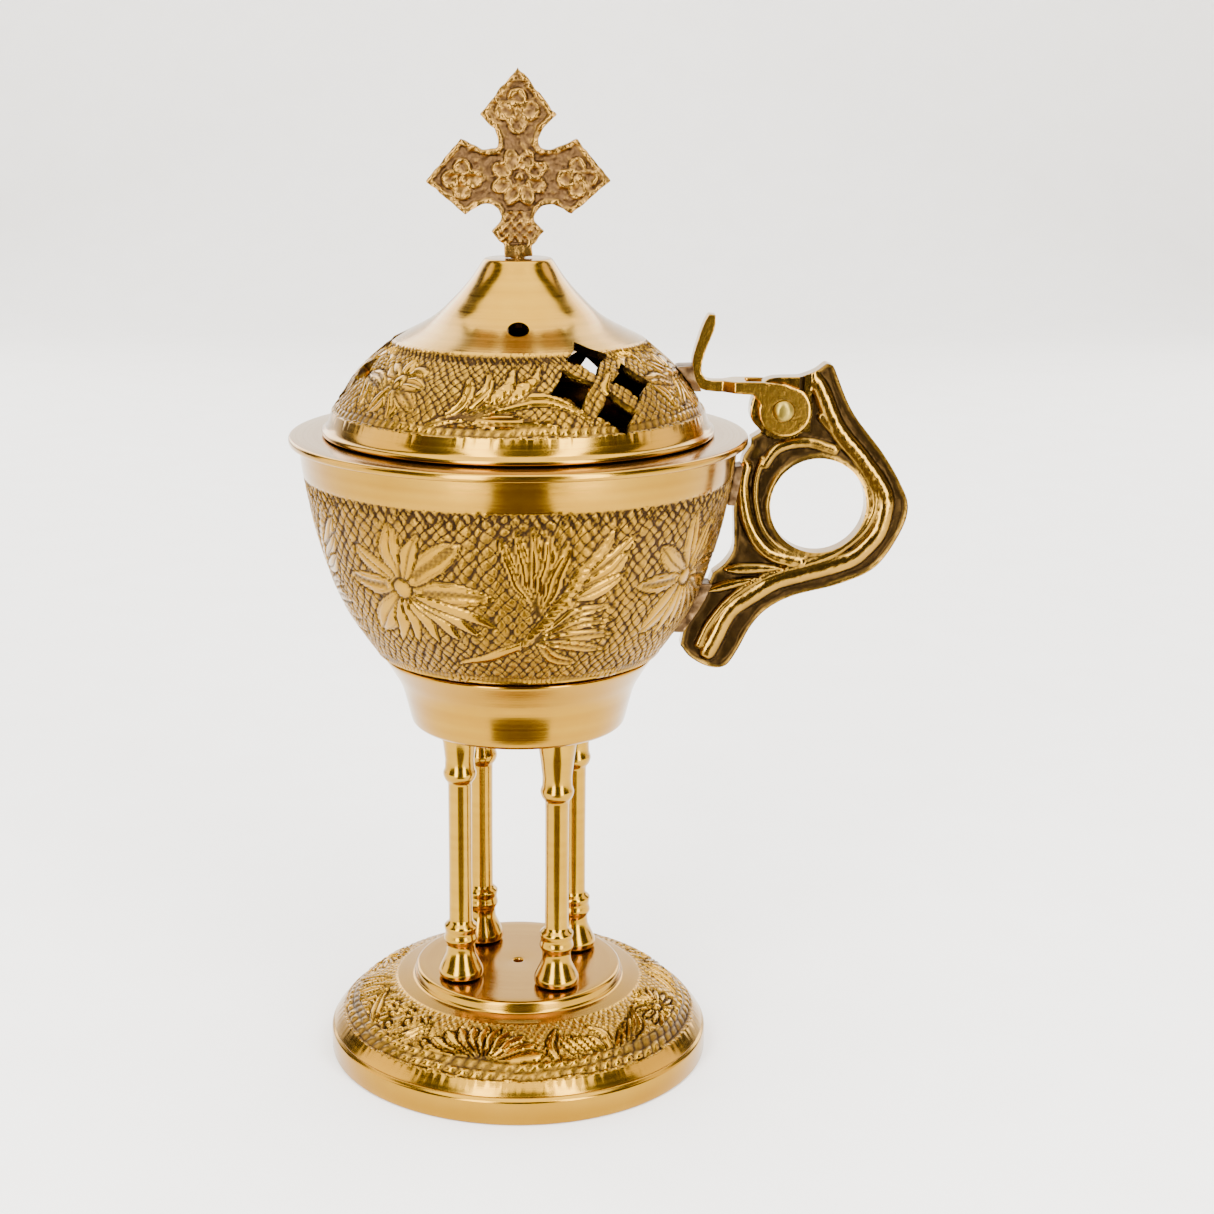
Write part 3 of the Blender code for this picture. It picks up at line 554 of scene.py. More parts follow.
# Fine-rayed flower, and leaves with scales on the far side of it
for ray in range(16):
    lean = radians(22.5 * ray)
    foot_leaf(68.0, 6.3, [(1.2 * cos(lean), 1.2 * sin(lean)), (3.4 * cos(lean), 3.2 * sin(lean)),
                          (6.8 * cos(lean), 5.4 * sin(lean))], 0.55)
work.boss(68.0 * FOOT_DEGREE, 6.3, 1.1)
for leaf in range(5):
    foot_leaf(88.0 + 8.0 * leaf, 6.4, [(-3.2, 4.6), (0.2, 0.4), (3.4, -4.8)], 1.25, "line")
for scale in range(9):
    work.boss((-62.0 + 3.4 * scale) * FOOT_DEGREE, 3.0 + 2.6 * (scale % 3), 0.85)
foot_leaf(-45.0, 7.5, [(-4.0, 3.4), (0.5, 1.0), (4.6, -4.4)], 1.2, "line")
foot_leaf(-68.0, 7.0, [(4.0, 3.4), (-0.5, 0.0), (-4.6, -4.4)], 1.4, "line")
work.nuggets(9.8, 2, 2.5, 2.05)
work.sink(0.85)
finish_with(foot, TURNED)
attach(foot, "stand")
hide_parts("base_foot")

# ---- Pillars and their screws --------------------------------------------------------------------
# Four slim turned brass pillars, ringed low down and beaded near the top. Each stands on the disc and
# carries the collar, held by a screw from below and one from above.


def pillar_profile(bead):
    """Half section from the top down; bead is the height of its upper ring."""
    head = [(1.5, 75.1), (4.1, 75.1), (4.2, 74.6), (3.6, bead + 7), (3.15, bead + 3.2), (3.2, bead + 1.2)]
    shaft = [(3.65, bead), (3.3, bead - 1.3), (2.55, bead - 2.2), (2.5, 45.0), (2.55, 32.0)]
    base = [(3.7, 31.0), (3.35, 29.4), (3.75, 27.9), (3.05, 26.6), (3.2, 24.6), (4.1, 22.6), (4.85, 21.0),
            (4.9, 19.9), (4.6, 19.3), (1.5, 19.3)]
    return eased(head + shaft + base, 0.45) + [(1.5, 30), (1.5, 65), (1.5, 75.1)]


POLISHED = brass_on_lathe("polished_rod_brass", "A37A19", "B08A28", "906813", upright=False)
pillar_beads = {"rear_right": 64.0, "rear_left": 63.2, "front_left": 65.9, "front_right": 63.2}
for turn, (corner, bead) in enumerate(pillar_beads.items()):
    a = radians(33.5 + 90 * turn)
    spot = (AXIS_X + 15.0 * MM * cos(a), 15.0 * MM * sin(a))
    pillar = turned("column_" + corner, pillar_profile(bead), 56, spot)
    finish_with(pillar, POLISHED)
    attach(pillar, "stand")
    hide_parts("pillar_" + corner)

# ---- Collar --------------------------------------------------------------------------------------
# A waisted ring turned from brass and left plain, seated under the bowl and on the pillars.
collar_side = smooth_run([(28.9, 90.5), (26.7, 87.0), (24.9, 83.5), (23.2, 77.0)], 0.8)
inner_side = [(r - 2.0, z) for r, z in reversed(collar_side) if z > 78.6]
collar = turned("collar", eased([(26.9, 90.9), (28.7, 90.9)] + collar_side
                + [(22.9, 76.0), (22.2, 75.4), (2.3, 75.4), (2.3, 77.9), (20.4, 77.9)] + inner_side
                + [(26.9, 90.9)], 0.25), 300)
finish_with(collar, TURNED)
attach(collar, "stand")
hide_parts("bowl_collar")

# ---- Bowl ----------------------------------------------------------------------------------------
# A spun brass bowl with a flat rolled rim. Below a polished band the whole wall is chased by hand:
# four large flowers with sprays of leaves between them, on a ground of crossed cuts.
BOWL_WALL = smooth_run([(45.8, 136.4), (45.1, 130.1), (42.4, 117.0), (37.5, 103.0), (30.4, 92.0)], 0.40)
chased = [p for p in BOWL_WALL if p[1] < 130.4]
plain = [p for p in BOWL_WALL if p[1] >= 130.4]
plain_band = plain[::4] + [plain[-1]]
bowl_inside = [(r - 2.3, z) for r, z in reversed(BOWL_WALL[::7]) if 92.5 < z < 134.5]
rim = [(38.0, 138.2), (40.0, 138.2), (44.0, 138.2), (47.6, 138.2), (48.0, 137.8), (48.0, 136.9),
       (47.6, 136.5), (45.85, 136.45)]
base = [(28.9, 91.2), (26.2, 91.2), (24.6, 88.4), (2.3, 88.4), (2.3, 90.9), (24.0, 90.9)]
bowl_outside = eased(rim, 0.3) + plain_band + chased + eased(base, 0.2)
bowl = turned("chased_bowl", bowl_outside + bowl_inside + [(42.5, 135.6), (38, 136.3), (38.0, 138.2)], 620)
work = Chasing(bowl, chased, 41.2, 4)
BOWL_DEGREE = radians(1) * 41.2
TOP_RUN = sum(hypot(b[0] - a[0], b[1] - a[1]) for a, b in zip(plain, plain[1:])) + 0.4   # down to the chasing
work.hatch(2.75)


def on_bowl(points):
    """Layout places of points given as azimuth (degrees) and distance down the wall (mm)."""
    return [(a * BOWL_DEGREE, v - TOP_RUN) for a, v in points]


def petal(a, v, x, y, width, vein="", bow=0.0, belly=0.5):
    """A petal from near a flower's middle (azimuth a, v down) to its tip, offset x and y (up) in mm."""
    cx, cy = a * BOWL_DEGREE, v - TOP_RUN
    size = hypot(x, y)
    nx, ny = -y / size * bow, x / size * bow
    work.blade([(cx + 0.10 * x, cy - 0.10 * y), (cx + 0.5 * x + nx, cy - 0.5 * y - ny), (cx + x, cy - y)],
               width, vein, belly)


PETALS = ((20.1, -0.6, 2.6, "dots"), (13.8, 11.1, 2.7, "dots"), (-1.2, 14.6, 2.7, "line"),
          (-10.8, 8.6, 2.3, "line"), (-15.5, 0.8, 2.1, "dots"), (-10.6, -11.2, 2.9, "line"),
          (-4.4, -13.2, 1.5, ""), (0.8, -13.0, 1.3, ""), (6.3, -12.2, 1.4, ""), (11.6, -11.0, 1.4, ""),
          (16.2, -9.8, 1.4, ""), (19.6, -7.2, 1.3, ""), (5.5, 12.8, 1.6, "line"))
for x, y, width, vein in PETALS:
    petal(-34.0, 24.2, x, y, width, vein, 0.4)
work.boss(-34.0 * BOWL_DEGREE, 24.2 - TOP_RUN, 2.0)
# The spray: a curved stem, a palm of five leaflets, one long serrated leaf and small leaves beside it
work.blade(on_bowl([(-21, 42.0), (-8, 39.0), (3.5, 34.4), (6.2, 29.5)]), 1.2)
PALM = (((-5.0, 11.2), (-0.5, 19.5), 1.5), ((-1.0, 9.6), (2.2, 17.5), 1.5), ((4.0, 8.8), (5.2, 17.0), 1.5),
        ((8.0, 10.2), (7.9, 18.0), 1.6), ((12.5, 11.6), (11.2, 18.5), 1.5))
for tip, mid, wide in PALM:
    work.blade(on_bowl([(6.2, 28.5), mid, tip]), wide, "line")
work.blade(on_bowl([(1.5, 36.4), (11.0, 28.5), (17.0, 22.0), (21.5, 16.0), (25.0, 9.8)]), 2.3, "rays", 0.55)
for tip, root in (((31.5, 11.5), (20.0, 19.5)), ((31.0, 15.5), (17.5, 22.5)), ((29.5, 20.0), (15.0, 25.0))):
    middle = ((tip[0] + root[0]) / 2 + 1.0, (tip[1] + root[1]) / 2 + 0.6)
    work.blade(on_bowl([root, middle, tip]), 1.5, "line")
for tip, bend in (((27.5, 27.0), (16.0, 28.6)), ((29.0, 31.0), (17.0, 31.2)), ((29.5, 34.6), (17.0, 34.0)),
                  ((29.0, 38.2), (16.0, 36.8)), ((20.0, 41.5), (11.0, 39.8))):
    work.blade(on_bowl([(5.5, 35.2), bend, tip]), 1.35, "dots")
# Short gouges hang from the polished band, and the ground closes up towards the collar
for n in range(36):
    a = -45 + 2.5 * n
    work.cut(on_bowl([(a, TOP_RUN + 0.3), (a + 1.5, TOP_RUN + 2.2 + 0.7 * (n % 3))]), 0.30)
work.nuggets(work.length - 1.7, 1, 1.3, 1.5)
work.sink(0.50)
finish_with(bowl, TURNED)
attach(bowl, "stand")
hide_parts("bowl")

# ---- Bowl bolt, washer, nut and screws -----------------------------------------------------------
# Plain brass fasteners, rolled and cut: one bolt through bowl and collar, a screw at each pillar end.


def rolled_brass(name, colour, mark):
    """Bought-in brass hardware: satin, with small scratches and dulled patches."""
    material, tree, shader = new_material(name)
    place = add(tree, "TexCoord", out="Object")
    blotch = add(tree, "TexNoise", {"Vector": place, "Scale": 260.0, "Detail": 4.0})
    tone = add(tree, "Mix", {0: blotch, 6: linear(colour), 7: linear(mark)}, out=2, data_type="RGBA")
    rough = add(tree, "MapRange", {0: blotch, 1: 0.3, 2: 0.7, 3: 0.22, 4: 0.42})
    nicks = add(tree, "TexNoise", {"Vector": place, "Scale": 1800.0, "Detail": 2.0})
    bump = add(tree, "Bump", {"Height": nicks, "Distance": 0.00004, "Strength": 0.6})
    feed(shader, {"Base Color": tone, "Metallic": 1.0, "Roughness": rough, "Normal": bump})
    return material


HARDWARE = rolled_brass("rolled_fastener_brass", "A08A3C", "85702E")
screws = [screw + corner for corner in pillar_beads for screw in ("foot_screw_", "collar_screw_")]
for part in ["bowl_bolt", "bowl_washer", "bowl_nut", "cross_nut"] + screws:
    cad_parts[part].data.materials.clear()
    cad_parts[part].data.materials.append(HARDWARE)

# ---- Charcoal cup --------------------------------------------------------------------------------
# A loose spun cup that hangs by its rim inside the bowl and holds the charcoal; heat has dulled it.


def heated_brass(name):
    """Thin brass that has been hot: satin, brown and straw-coloured bands with sooty specks inside."""
    material, tree, shader = new_material(name)
    place = add(tree, "TexCoord", out="Object")
    cloud = add(tree, "TexNoise", {"Vector": place, "Scale": 60.0, "Detail": 5.0})
    soot = add(tree, "TexNoise", {"Vector": place, "Scale": 420.0, "Detail": 4.0})
    warm = add(tree, "Mix", {0: cloud, 6: linear("866D2E"), 7: linear("573D1A")}, out=2, data_type="RGBA")
    spots = add(tree, "MapRange", {0: soot, 1: 0.52, 2: 0.66, 3: 0.0, 4: 0.7})
    tone = add(tree, "Mix", {0: spots, 6: warm, 7: linear("1F170B")}, out=2, data_type="RGBA")
    rough = add(tree, "MapRange", {0: soot, 1: 0.3, 2: 0.7, 3: 0.34, 4: 0.6})
    bump = add(tree, "Bump", {"Height": soot, "Distance": 0.00008, "Strength": 0.5})
    feed(shader, {"Base Color": tone, "Metallic": 1.0, "Roughness": rough, "Normal": bump})
    return material


cup_inside = smooth_run([(0, 95.2), (16.5, 95.9), (24.6, 100.4), (28.4, 110.0), (28.9, 123.5)], 1.2)
cup_rim = [(31.9, 123.5), (32.3, 123.0), (32.3, 122.1), (31.9, 121.7), (30.5, 121.5)]
cup_outside = smooth_run([(30.5, 121.5), (30.0, 109.5), (25.7, 99.2), (17.2, 94.4), (12.4, 93.9)], 1.2)[1:]
cup_foot = [(12.1, 91.2), (10.5, 91.2), (10.2, 93.5), (0, 93.5)]
cup = turned("hot_coal_cup", eased(cup_inside + cup_rim + cup_outside + cup_foot, 0.3), 180)
finish_with(cup, heated_brass("heat_tinted_spun_brass"))
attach(cup, "cup")
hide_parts("charcoal_cup")

# ---- Lid -----------------------------------------------------------------------------------------
# Dome and cone turned in one brass shell, seated on the flange and centred by a lip in the mouth.
# The dome is chased with flowers and fern leaves and pierced by three groups of four windows.


def plate(name, outline, half, to_world=None):
    """A flat blank, half its thickness each side of the middle plane: its outline (x, z in mm from
    the bowl's axis) is drawn point by point, filled, and drawn out along Y."""
    start = (outline[0][0] * MM, -half * MM, outline[0][1] * MM)
    blank = new_blank(name, bpy.ops.mesh.primitive_plane_add, size=MM, location=start)
    bpy.ops.object.mode_set(mode="EDIT")
    bpy.ops.mesh.select_mode(type="VERT")
    bpy.ops.mesh.merge(type="CENTER")
    for (x0, z0), (x1, z1) in zip(outline, outline[1:] + outline[:1]):
        step = ((x1 - x0) * MM, 0, (z1 - z0) * MM)
        bpy.ops.mesh.extrude_vertices_move(TRANSFORM_OT_translate={"value": step})
    bpy.ops.mesh.select_all(action="SELECT")
    bpy.ops.mesh.remove_doubles(threshold=0.002 * MM)
    bpy.ops.mesh.edge_face_add()
    bpy.ops.mesh.extrude_region_move(TRANSFORM_OT_translate={"value": (0, 2 * half * MM, 0)})
    bpy.ops.mesh.select_all(action="SELECT")
    bpy.ops.mesh.normals_make_consistent(inside=False)
    bpy.ops.object.mode_set(mode="OBJECT")
    blank.data.transform(to_world if to_world else Matrix.Translation((AXIS_X, 0, 0)))
    return blank


def apply_all(piece):
    """Applies every modifier of a piece in turn."""
    pick_up(piece)
    for modifier in list(piece.modifiers):
        bpy.ops.object.modifier_apply(modifier=modifier.name)


def cut_away(piece, *tools, operation="DIFFERENCE"):
    """Cuts (or joins, or keeps only what is shared with) each tool, then throws the tool away."""
    for tool in tools:
        saw = piece.modifiers.new("saw", "BOOLEAN")
        saw.operation = operation
        saw.object = tool
        apply_all(piece)
        bpy.data.objects.remove(tool)


def drill(x, z, radius, faces=48):
    """A round cutter along Y, 24 mm long."""
    return new_blank("drill", bpy.ops.mesh.primitive_cylinder_add, vertices=faces, radius=radius * MM,
                     depth=24 * MM, location=(AXIS_X + x * MM, 0, z * MM), rotation=(pi / 2, 0, 0))


def radius_at(height, wall):
    """Radius in mm, at a height, of a turned wall whose points run from the top down."""
    up = wall[::-1]
    return float(np.interp(height, [z for r, z in up], [r for r, z in up]))


LID_CONE = smooth_run([(7.4, 173.6), (9.9, 170.0), (13.5, 166.0), (18.1, 162.0), (26.2, 157.8)], 0.8)
LID_DOME = smooth_run([(26.2, 157.8), (32.8, 152.0), (36.5, 147.0), (38.9, 143.3)], 0.36)
lid_band = [(39.6, 141.0), (40.2, 139.9), (40.9, 139.5), (41.1, 139.0), (40.9, 138.5), (37.3, 138.5),
            (37.3, 135.7), (35.4, 135.7), (35.4, 139.5)]
outer = LID_CONE[:-1] + LID_DOME[::4]
lid_inside = []
for before, here, after in zip(outer, outer[1:], outer[2:]):
    lean = atan2(after[1] - before[1], after[0] - before[0])
    lid_inside.append((here[0] + 2.0 * sin(lean), here[1] - 2.0 * cos(lean)))
lid_inside = [p for p in reversed(lid_inside) if 141.0 < p[1] < 171.6]
lid_top = eased([(1.6, 174.3), (6.9, 174.3), (7.4, 173.6)], 0.3)[:-1]
lid_outside = lid_top + LID_CONE[:-1] + LID_DOME + eased(lid_band, 0.3)
lid = turned("pierced_lid", lid_outside + lid_inside + [(6.2, 172.0), (1.6, 172.0), (1.6, 174.3)], 560)

# Each window's sides bow in a little, and each group of four is set askew on the dome
WINDOW = [(3.4, 3.4), (0, 2.92), (-3.4, 3.4), (-2.92, 0), (-3.4, -3.4), (0, -2.92), (3.4, -3.4), (2.92, 0)]
WINDOW_Z, PEEP_Z = 152.7, 161.8          # heights of a group's middle and of the peep hole
dome_r = radius_at(WINDOW_Z, LID_DOME)
cutters = []
for azimuth in (31.5, 151.5, 271.5):
    for column in (-0.5, 0.5):
        for row in (-0.5, 0.5):
            stand = (Matrix.Translation((AXIS_X, 0, 0)) @ Matrix.Rotation(radians(azimuth), 4, "Z")
                     @ Matrix.Translation((0, -dome_r * MM, WINDOW_Z * MM))
                     @ Matrix.Rotation(radians(-46), 4, "X")
                     @ Matrix.Rotation(radians(42), 4, "Y")
                     @ Matrix.Translation((column * 10.0 * MM, 0, row * 9.4 * MM)))
            cutters.append(plate("window", WINDOW, 7.0, stand))
peep = new_blank("peep", bpy.ops.mesh.primitive_cylinder_add, vertices=40, radius=2.2 * MM, depth=12 * MM,
                 rotation=(radians(50), 0, 0),
                 location=(AXIS_X, -radius_at(PEEP_Z, LID_CONE) * MM, PEEP_Z * MM))
for cutter in cutters:
    cutter.select_set(True)
bpy.ops.object.join()
cut_away(lid, peep)

work = Chasing(lid, LID_DOME, 34.0, 3)
LID_DEGREE = radians(1) * 34.0
work.hatch(2.1)


def on_lid(points):
    """Layout places of points given as azimuth (degrees) and distance down the dome (mm)."""
    return [(a * LID_DEGREE, v) for a, v in points]


# Flower between two groups of windows
LID_PETALS = ((6.6, 3.2, 1.9, ""), (0.5, 5.6, 1.7, "line"), (-6.4, 3.6, 1.8, "line"),
              (-8.0, -2.4, 1.8, "dots"), (-4.6, -7.8, 1.9, "line"), (1.6, -9.4, 1.8, "line"),
              (6.8, -6.6, 2.0, "dots"), (8.2, -1.2, 1.6, "line"))
flower_x, flower_y = -47 * LID_DEGREE, 8.2
for x, y, width, vein in LID_PETALS:
    bent = (flower_x + 0.55 * x - 0.06 * y, flower_y - 0.55 * y - 0.06 * x)
    root = (flower_x + 0.12 * x, flower_y - 0.12 * y)
    work.blade([root, bent, (flower_x + x, flower_y - y)], width, vein)
work.boss(flower_x, flower_y, 1.5)
# Fern: one long curled blade under the windows, and four thinner ones fanning up to the cone
long_blade = [(-31, 17.4), (-18, 14.6), (-6, 12.4), (4, 10.6), (13, 11.6), (20, 14.4), (24, 18.0)]
work.blade(on_lid(long_blade), 1.5, "line")
for tip, bend, wide in (((9.0, 2.6), (2.5, 8.0), 1.5), ((-1.0, 3.0), (-5.5, 9.2), 1.4),
                        ((-10.0, 4.0), (-12.0, 10.0), 1.3), ((-17.0, 5.4), (-18.0, 11.6), 1.2)):
    work.blade(on_lid([(-24, 15.4), bend, tip]), wide, "rays" if wide > 1.35 else "line")
for tip, bend in (((4, 15.6), (-6, 15.2)), ((12.5, 16.8), (2, 16.6))):
    work.blade(on_lid([(-16, 15.4), bend, tip]), 1.1, "dots")
# Raised strap looped between the windows, and a leaf beyond them
work.blade(on_lid([(41, 9.0), (44, 4.6), (47, 2.0), (52, 1.2), (57, 3.0), (57, 5.6)]), 1.3, "")
work.blade(on_lid([(33, 12.6), (32, 9.0), (37, 5.0)]), 1.1, "")
for tip in ((65, 14.0), (60, 16.6), (68, 11.0)):
    work.blade(on_lid([(51, 8.2), ((51 + tip[0]) / 2 + 1.5, (8.2 + tip[1]) / 2 - 1.0), tip]), 1.4, "line")
for n in range(48):
    a = -60 + 2.5 * n
    work.cut(on_lid([(a, 0.5), (a + 2.2, 2.1)]), 0.30)
work.nuggets(17.0, 1, 1.9, 1.9)
work.sink(0.55)
finish_with(lid, TURNED)
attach(lid, "lid")
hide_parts("lid")

# ---- Cross ---------------------------------------------------------------------------------------
# A flat cross sand-cast in brass with four kite-shaped arms, a raised rim and small flowers, its
# stem ending in a threaded stud that is nutted inside the lid. The recesses keep a brown patina.


def cast_brass(name, gold, recess, deep, rough=0.26, sand=0.00012):
    """Sand-cast brass, only its high places rubbed bright: gold ridges and edges, olive-brown
    patina in the hollows, and the fine lumpy skin that the sand leaves."""
    material, tree, shader = new_material(name)
    place = add(tree, "TexCoord", out="Object")
    depth = add(tree, "Attribute", out="Fac", attribute_name="depth")
    skin = add(tree, "TexNoise", {"Vector": place, "Scale": 900.0, "Detail": 4.0,
                                  "Roughness": 0.6})
    blotch = add(tree, "TexNoise", {"Vector": place, "Scale": 190.0, "Detail": 4.0})
    stain = add(tree, "Math", {0: blotch, 1: 0.7, 2: depth}, operation="MULTIPLY_ADD")
    stain = add(tree, "MapRange", {0: stain, 1: 0.48, 2: 1.05, 3: 0.0, 4: 1.0})
    hollow = add(tree, "Mix", {0: skin, 6: linear(recess), 7: linear(deep)}, out=2, data_type="RGBA")
    colour = add(tree, "Mix", {0: stain, 6: linear(gold), 7: hollow}, out=2, data_type="RGBA")
    dull = add(tree, "Math", {0: stain, 1: 0.20, 2: rough}, operation="MULTIPLY_ADD")
    lumps = add(tree, "Math", {0: blotch, 1: 1.5, 2: skin}, operation="MULTIPLY_ADD")
    bump = add(tree, "Bump", {"Height": lumps, "Distance": sand, "Strength": 0.55})
    feed(shader, {"Base Color": colour, "Metallic": 1.0, "Roughness": dull, "Normal": bump})
    return material


def cast(piece, grain, soften=3):
    """Turns a sharp blank into a casting: even small facets, and edges softened as in a sand mould."""
    mould = piece.modifiers.new("mould", "REMESH")
    mould.mode = "VOXEL"
    mould.voxel_size = grain * MM
    melt = piece.modifiers.new("melt", "SMOOTH")
    melt.factor = 0.5
    melt.iterations = soften
    apply_all(piece)


def off_line(x, z, path, closed=False):
    """Distance in mm from each place to a line through the points."""
    best = np.full(len(x), 1e9)
    for (x0, z0), (x1, z1) in zip(path, path[1:] + path[:1] if closed else path[1:]):
        size = hypot(x1 - x0, z1 - z0)
        if size < 1e-6:
            continue
        t = np.clip(((x - x0) * (x1 - x0) + (z - z0) * (z1 - z0)) / size ** 2, 0, 1)
        best = np.minimum(best, np.hypot(x - x0 - t * (x1 - x0), z - z0 - t * (z1 - z0)))
    return best


def model_faces(piece, half, deepest, depth_at):
    """Sinks the two flat faces of a casting (half mm from its middle) by depth_at(x, z), 0 to 1."""
    co = corners(piece)
    x, y, z = co[:, 0] - AXIS_X / MM, np.abs(co[:, 1]), co[:, 2]
    facing = np.clip((y - (half - 0.30)) / 0.22, 0, 1)
    depth = np.clip(depth_at(x, z), 0, 1) * facing
    piece.data.attributes.new("depth", "FLOAT", "POINT").data.foreach_set("value", depth)
    co[:, 1] -= np.sign(co[:, 1]) * depth * deepest
    move_corners(piece, co)


def sand_lumps(x, z, finest, coarsest, seed):
    """Uneven skin of a sand casting, about -1 to 1: many small waves in all directions, sizes in mm."""
    rng = np.random.default_rng(seed)
    total = np.zeros(len(x))
    for _ in range(16):
        size, way, start = rng.uniform(finest, coarsest), rng.uniform(0, 2 * pi), rng.uniform(0, 2 * pi)
        total += np.sin(2 * pi * (x * cos(way) + z * sin(way)) / size + start)
    return total / 4.5


def flowing(points):
    """Outline through the points, smooth except at the corners marked True."""
    marks = [i for i, p in enumerate(points) if len(p) > 2]
    out = []
    for here, there in zip(marks, marks[1:] + [marks[0] + len(points)]):
        run = [points[i % len(points)][:2] for i in range(here, there + 1)]
        out += smooth_run(run, 0.7)[:-1] if len(run) > 2 else [run[0]]
    return out


right = [(0, 212.4, True), (7.8, 203.0, True), (5.3, 200.6), (4.1, 198.0), (4.5, 196.4), (6.6, 196.2),
         (9.0, 197.0), (11.8, 198.3, True), (18.9, 189.9, True), (10.9, 183.2, True), (8.2, 184.8),
         (5.6, 185.2), (4.0, 184.0), (3.4, 182.0), (5.5, 179.6, True), (2.8, 176.9, True), (2.8, 174.5, True)]
CROSS_EDGE = flowing(right + [(-p[0],) + p[1:] for p in reversed(right) if p[0] > 0])
cross = plate("cast_cross", CROSS_EDGE, 1.4)
cast(cross, 0.23, 3)
shape = corners(cross)
for axis, seed in ((0, 5), (2, 9)):
    shape[:, axis] += 0.14 * sand_lumps(shape[:, 0], shape[:, 2], 1.6, 5.0, seed)
move_corners(cross, shape)
FLOWERS = ((-0.2, 203.8, 4, 2.6, 2.1), (-11.4, 190.2, 4, 2.4, 1.95), (12.0, 190.4, 4, 2.4, 1.95),
           (0.2, 190.6, 8, 3.8, 1.7))    # x, z, petals, their distance out and half width


def cross_depth(x, z):
    """Raised rim, four-petalled flowers in three arms, an eight-petalled one in the middle."""
    edge = off_line(x, z, CROSS_EDGE, True)
    depth = 0.15 + np.clip((edge - 0.85) / 0.6, 0, 1) * 0.62
    for cx, cz, petals, reach, size in FLOWERS:
        for n in range(petals):
            a = 2 * pi * (n + (0.5 if petals == 8 else 0)) / petals
            px, pz = cx + reach * cos(a), cz + reach * sin(a)
            along = (x - px) * cos(a) + (z - pz) * sin(a)
            aside = -(x - px) * sin(a) + (z - pz) * cos(a)
            gap = np.hypot(along / 1.35 if petals == 8 else along, aside) / size
            lip = 0.12 + 0.55 * np.clip(1.2 - gap / 0.62, 0, 1) + 0.6 * np.clip((gap - 0.86) / 0.2, 0, 1)
            depth = np.where(gap < 1.05, np.minimum(depth, lip), depth)
        heart = np.hypot(x - cx, z - cz)
        depth = np.where(heart < 1.0, 0.05 + 0.5 * heart ** 2, depth)
    nuggets = (np.abs(x) < 4) & (z < 184) & (z > 177.5) & (edge > 0.9)
    wander = 0.5 * sand_lumps(x, z, 2.5, 6.0, 6)
    depth = np.where(nuggets, 0.45 + 0.35 * np.sin(3.3 * x + 0.4 + wander) * np.sin(3.1 * z + wander), depth)
    depth = np.where(z < 177.0, 0.15, depth)
    rough = np.where(z < 177.0, 0.03, 0.20)
    return depth + rough * sand_lumps(x, z, 1.0, 2.6, 3) + 0.10 * sand_lumps(x, z, 3.0, 7.0, 4)


model_faces(cross, 1.4, 0.85, cross_depth)
stud = new_blank("stud", bpy.ops.mesh.primitive_cylinder_add, vertices=24, radius=1.3 * MM, depth=9 * MM,
                 location=(AXIS_X, 0, 0.172))
cut_away(cross, stud, operation="UNION")
finish_with(cross, cast_brass("sand_cast_brass_cross", "86632B", "4C371C", "5A4028", 0.24, 0.00022))
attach(cross, "lid")
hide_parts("cross")

# ---- Lid lever -----------------------------------------------------------------------------------
# A cast lever brazed to the dome: a thumb spur standing up, a bar running out, and two flat ears that
# hold the handle's lug between them, pinned by a headed rivet.
HINGE_X, HINGE_Z = 54.9, 143.2
ear = []
for i in range(33):
    a = radians(50 - 245 * i / 32)
    ear.append((HINGE_X + 0.4 + 5.4 * cos(a), HINGE_Z + 5.4 * sin(a)))
under = smooth_run([(48.6, 146.5), (45.5, 146.7), (41.0, 146.9), (38.6, 147.2), (37.4, 147.9),
                    (36.6, 149.2)], 0.8)
spur = smooth_run([(36.1, 151.0), (36.1, 153.7), (37.1, 157.6), (38.3, 161.1), (39.3, 163.0)], 0.8)
spur += smooth_run([(40.7, 162.8), (40.6, 160.2), (39.8, 158.0), (38.8, 155.4), (38.1, 152.8),
                    (38.0, 150.9)], 0.8)
top = smooth_run([(38.8, 149.6), (40.2, 149.2), (47.1, 149.2), (51.0, 149.1), (55.2, 148.7)], 0.8)
lever = plate("cast_lever", ear + under + spur + top, 4.3)
plan = [(30, -2.1), (42.5, -2.1), (45.8, -5.3), (70, -5.3), (70, 5.3), (45.8, 5.3), (42.5, 2.1), (30, 2.1)]
lie_flat = Matrix.Translation((AXIS_X, 0, HINGE_Z * MM)) @ Matrix.Rotation(pi / 2, 4, "X")
cut_away(lever, plate("plan", plan, 100, lie_flat), operation="INTERSECT")
slot = plate("slot", [(47.3, 130), (70, 130), (70, 160), (47.3, 160)], 2.8)
cut_away(lever, slot, drill(HINGE_X, HINGE_Z, 1.8))
cast(lever, 0.26, 2)
LEVER_BRASS = cast_brass("cast_brass_rubbed", "AD832E", "6F5320", "473312", 0.20)
finish_with(lever, LEVER_BRASS)
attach(lever, "lid")
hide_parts("lid_arm")

pin_half = [(0, 5.6), (1.2, 5.5), (1.9, 5.1), (2.25, 4.6), (1.5, 4.6)]
pin = turned("hinge_rivet", eased(pin_half + [(r, -y) for r, y in reversed(pin_half)], 0.25), 48,
             (AXIS_X + HINGE_X * MM, HINGE_Z * MM), across=True)
finish_with(pin, HARDWARE)
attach(pin, "lid")
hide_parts("hinge_pin")

# ---- Handle --------------------------------------------------------------------------------------
# One flat brass casting, brazed to the bowl at two seats: a lug for the hinge, a finger hole, and a
# sweep that ends in a scroll. A running bead, ridges and two small leaves stand up from its faces.


def off_bowl(offset, *heights):
    """Places at those heights, an offset out from the bowl's wall."""
    return [(radius_at(z, BOWL_WALL) + offset, z) for z in heights]


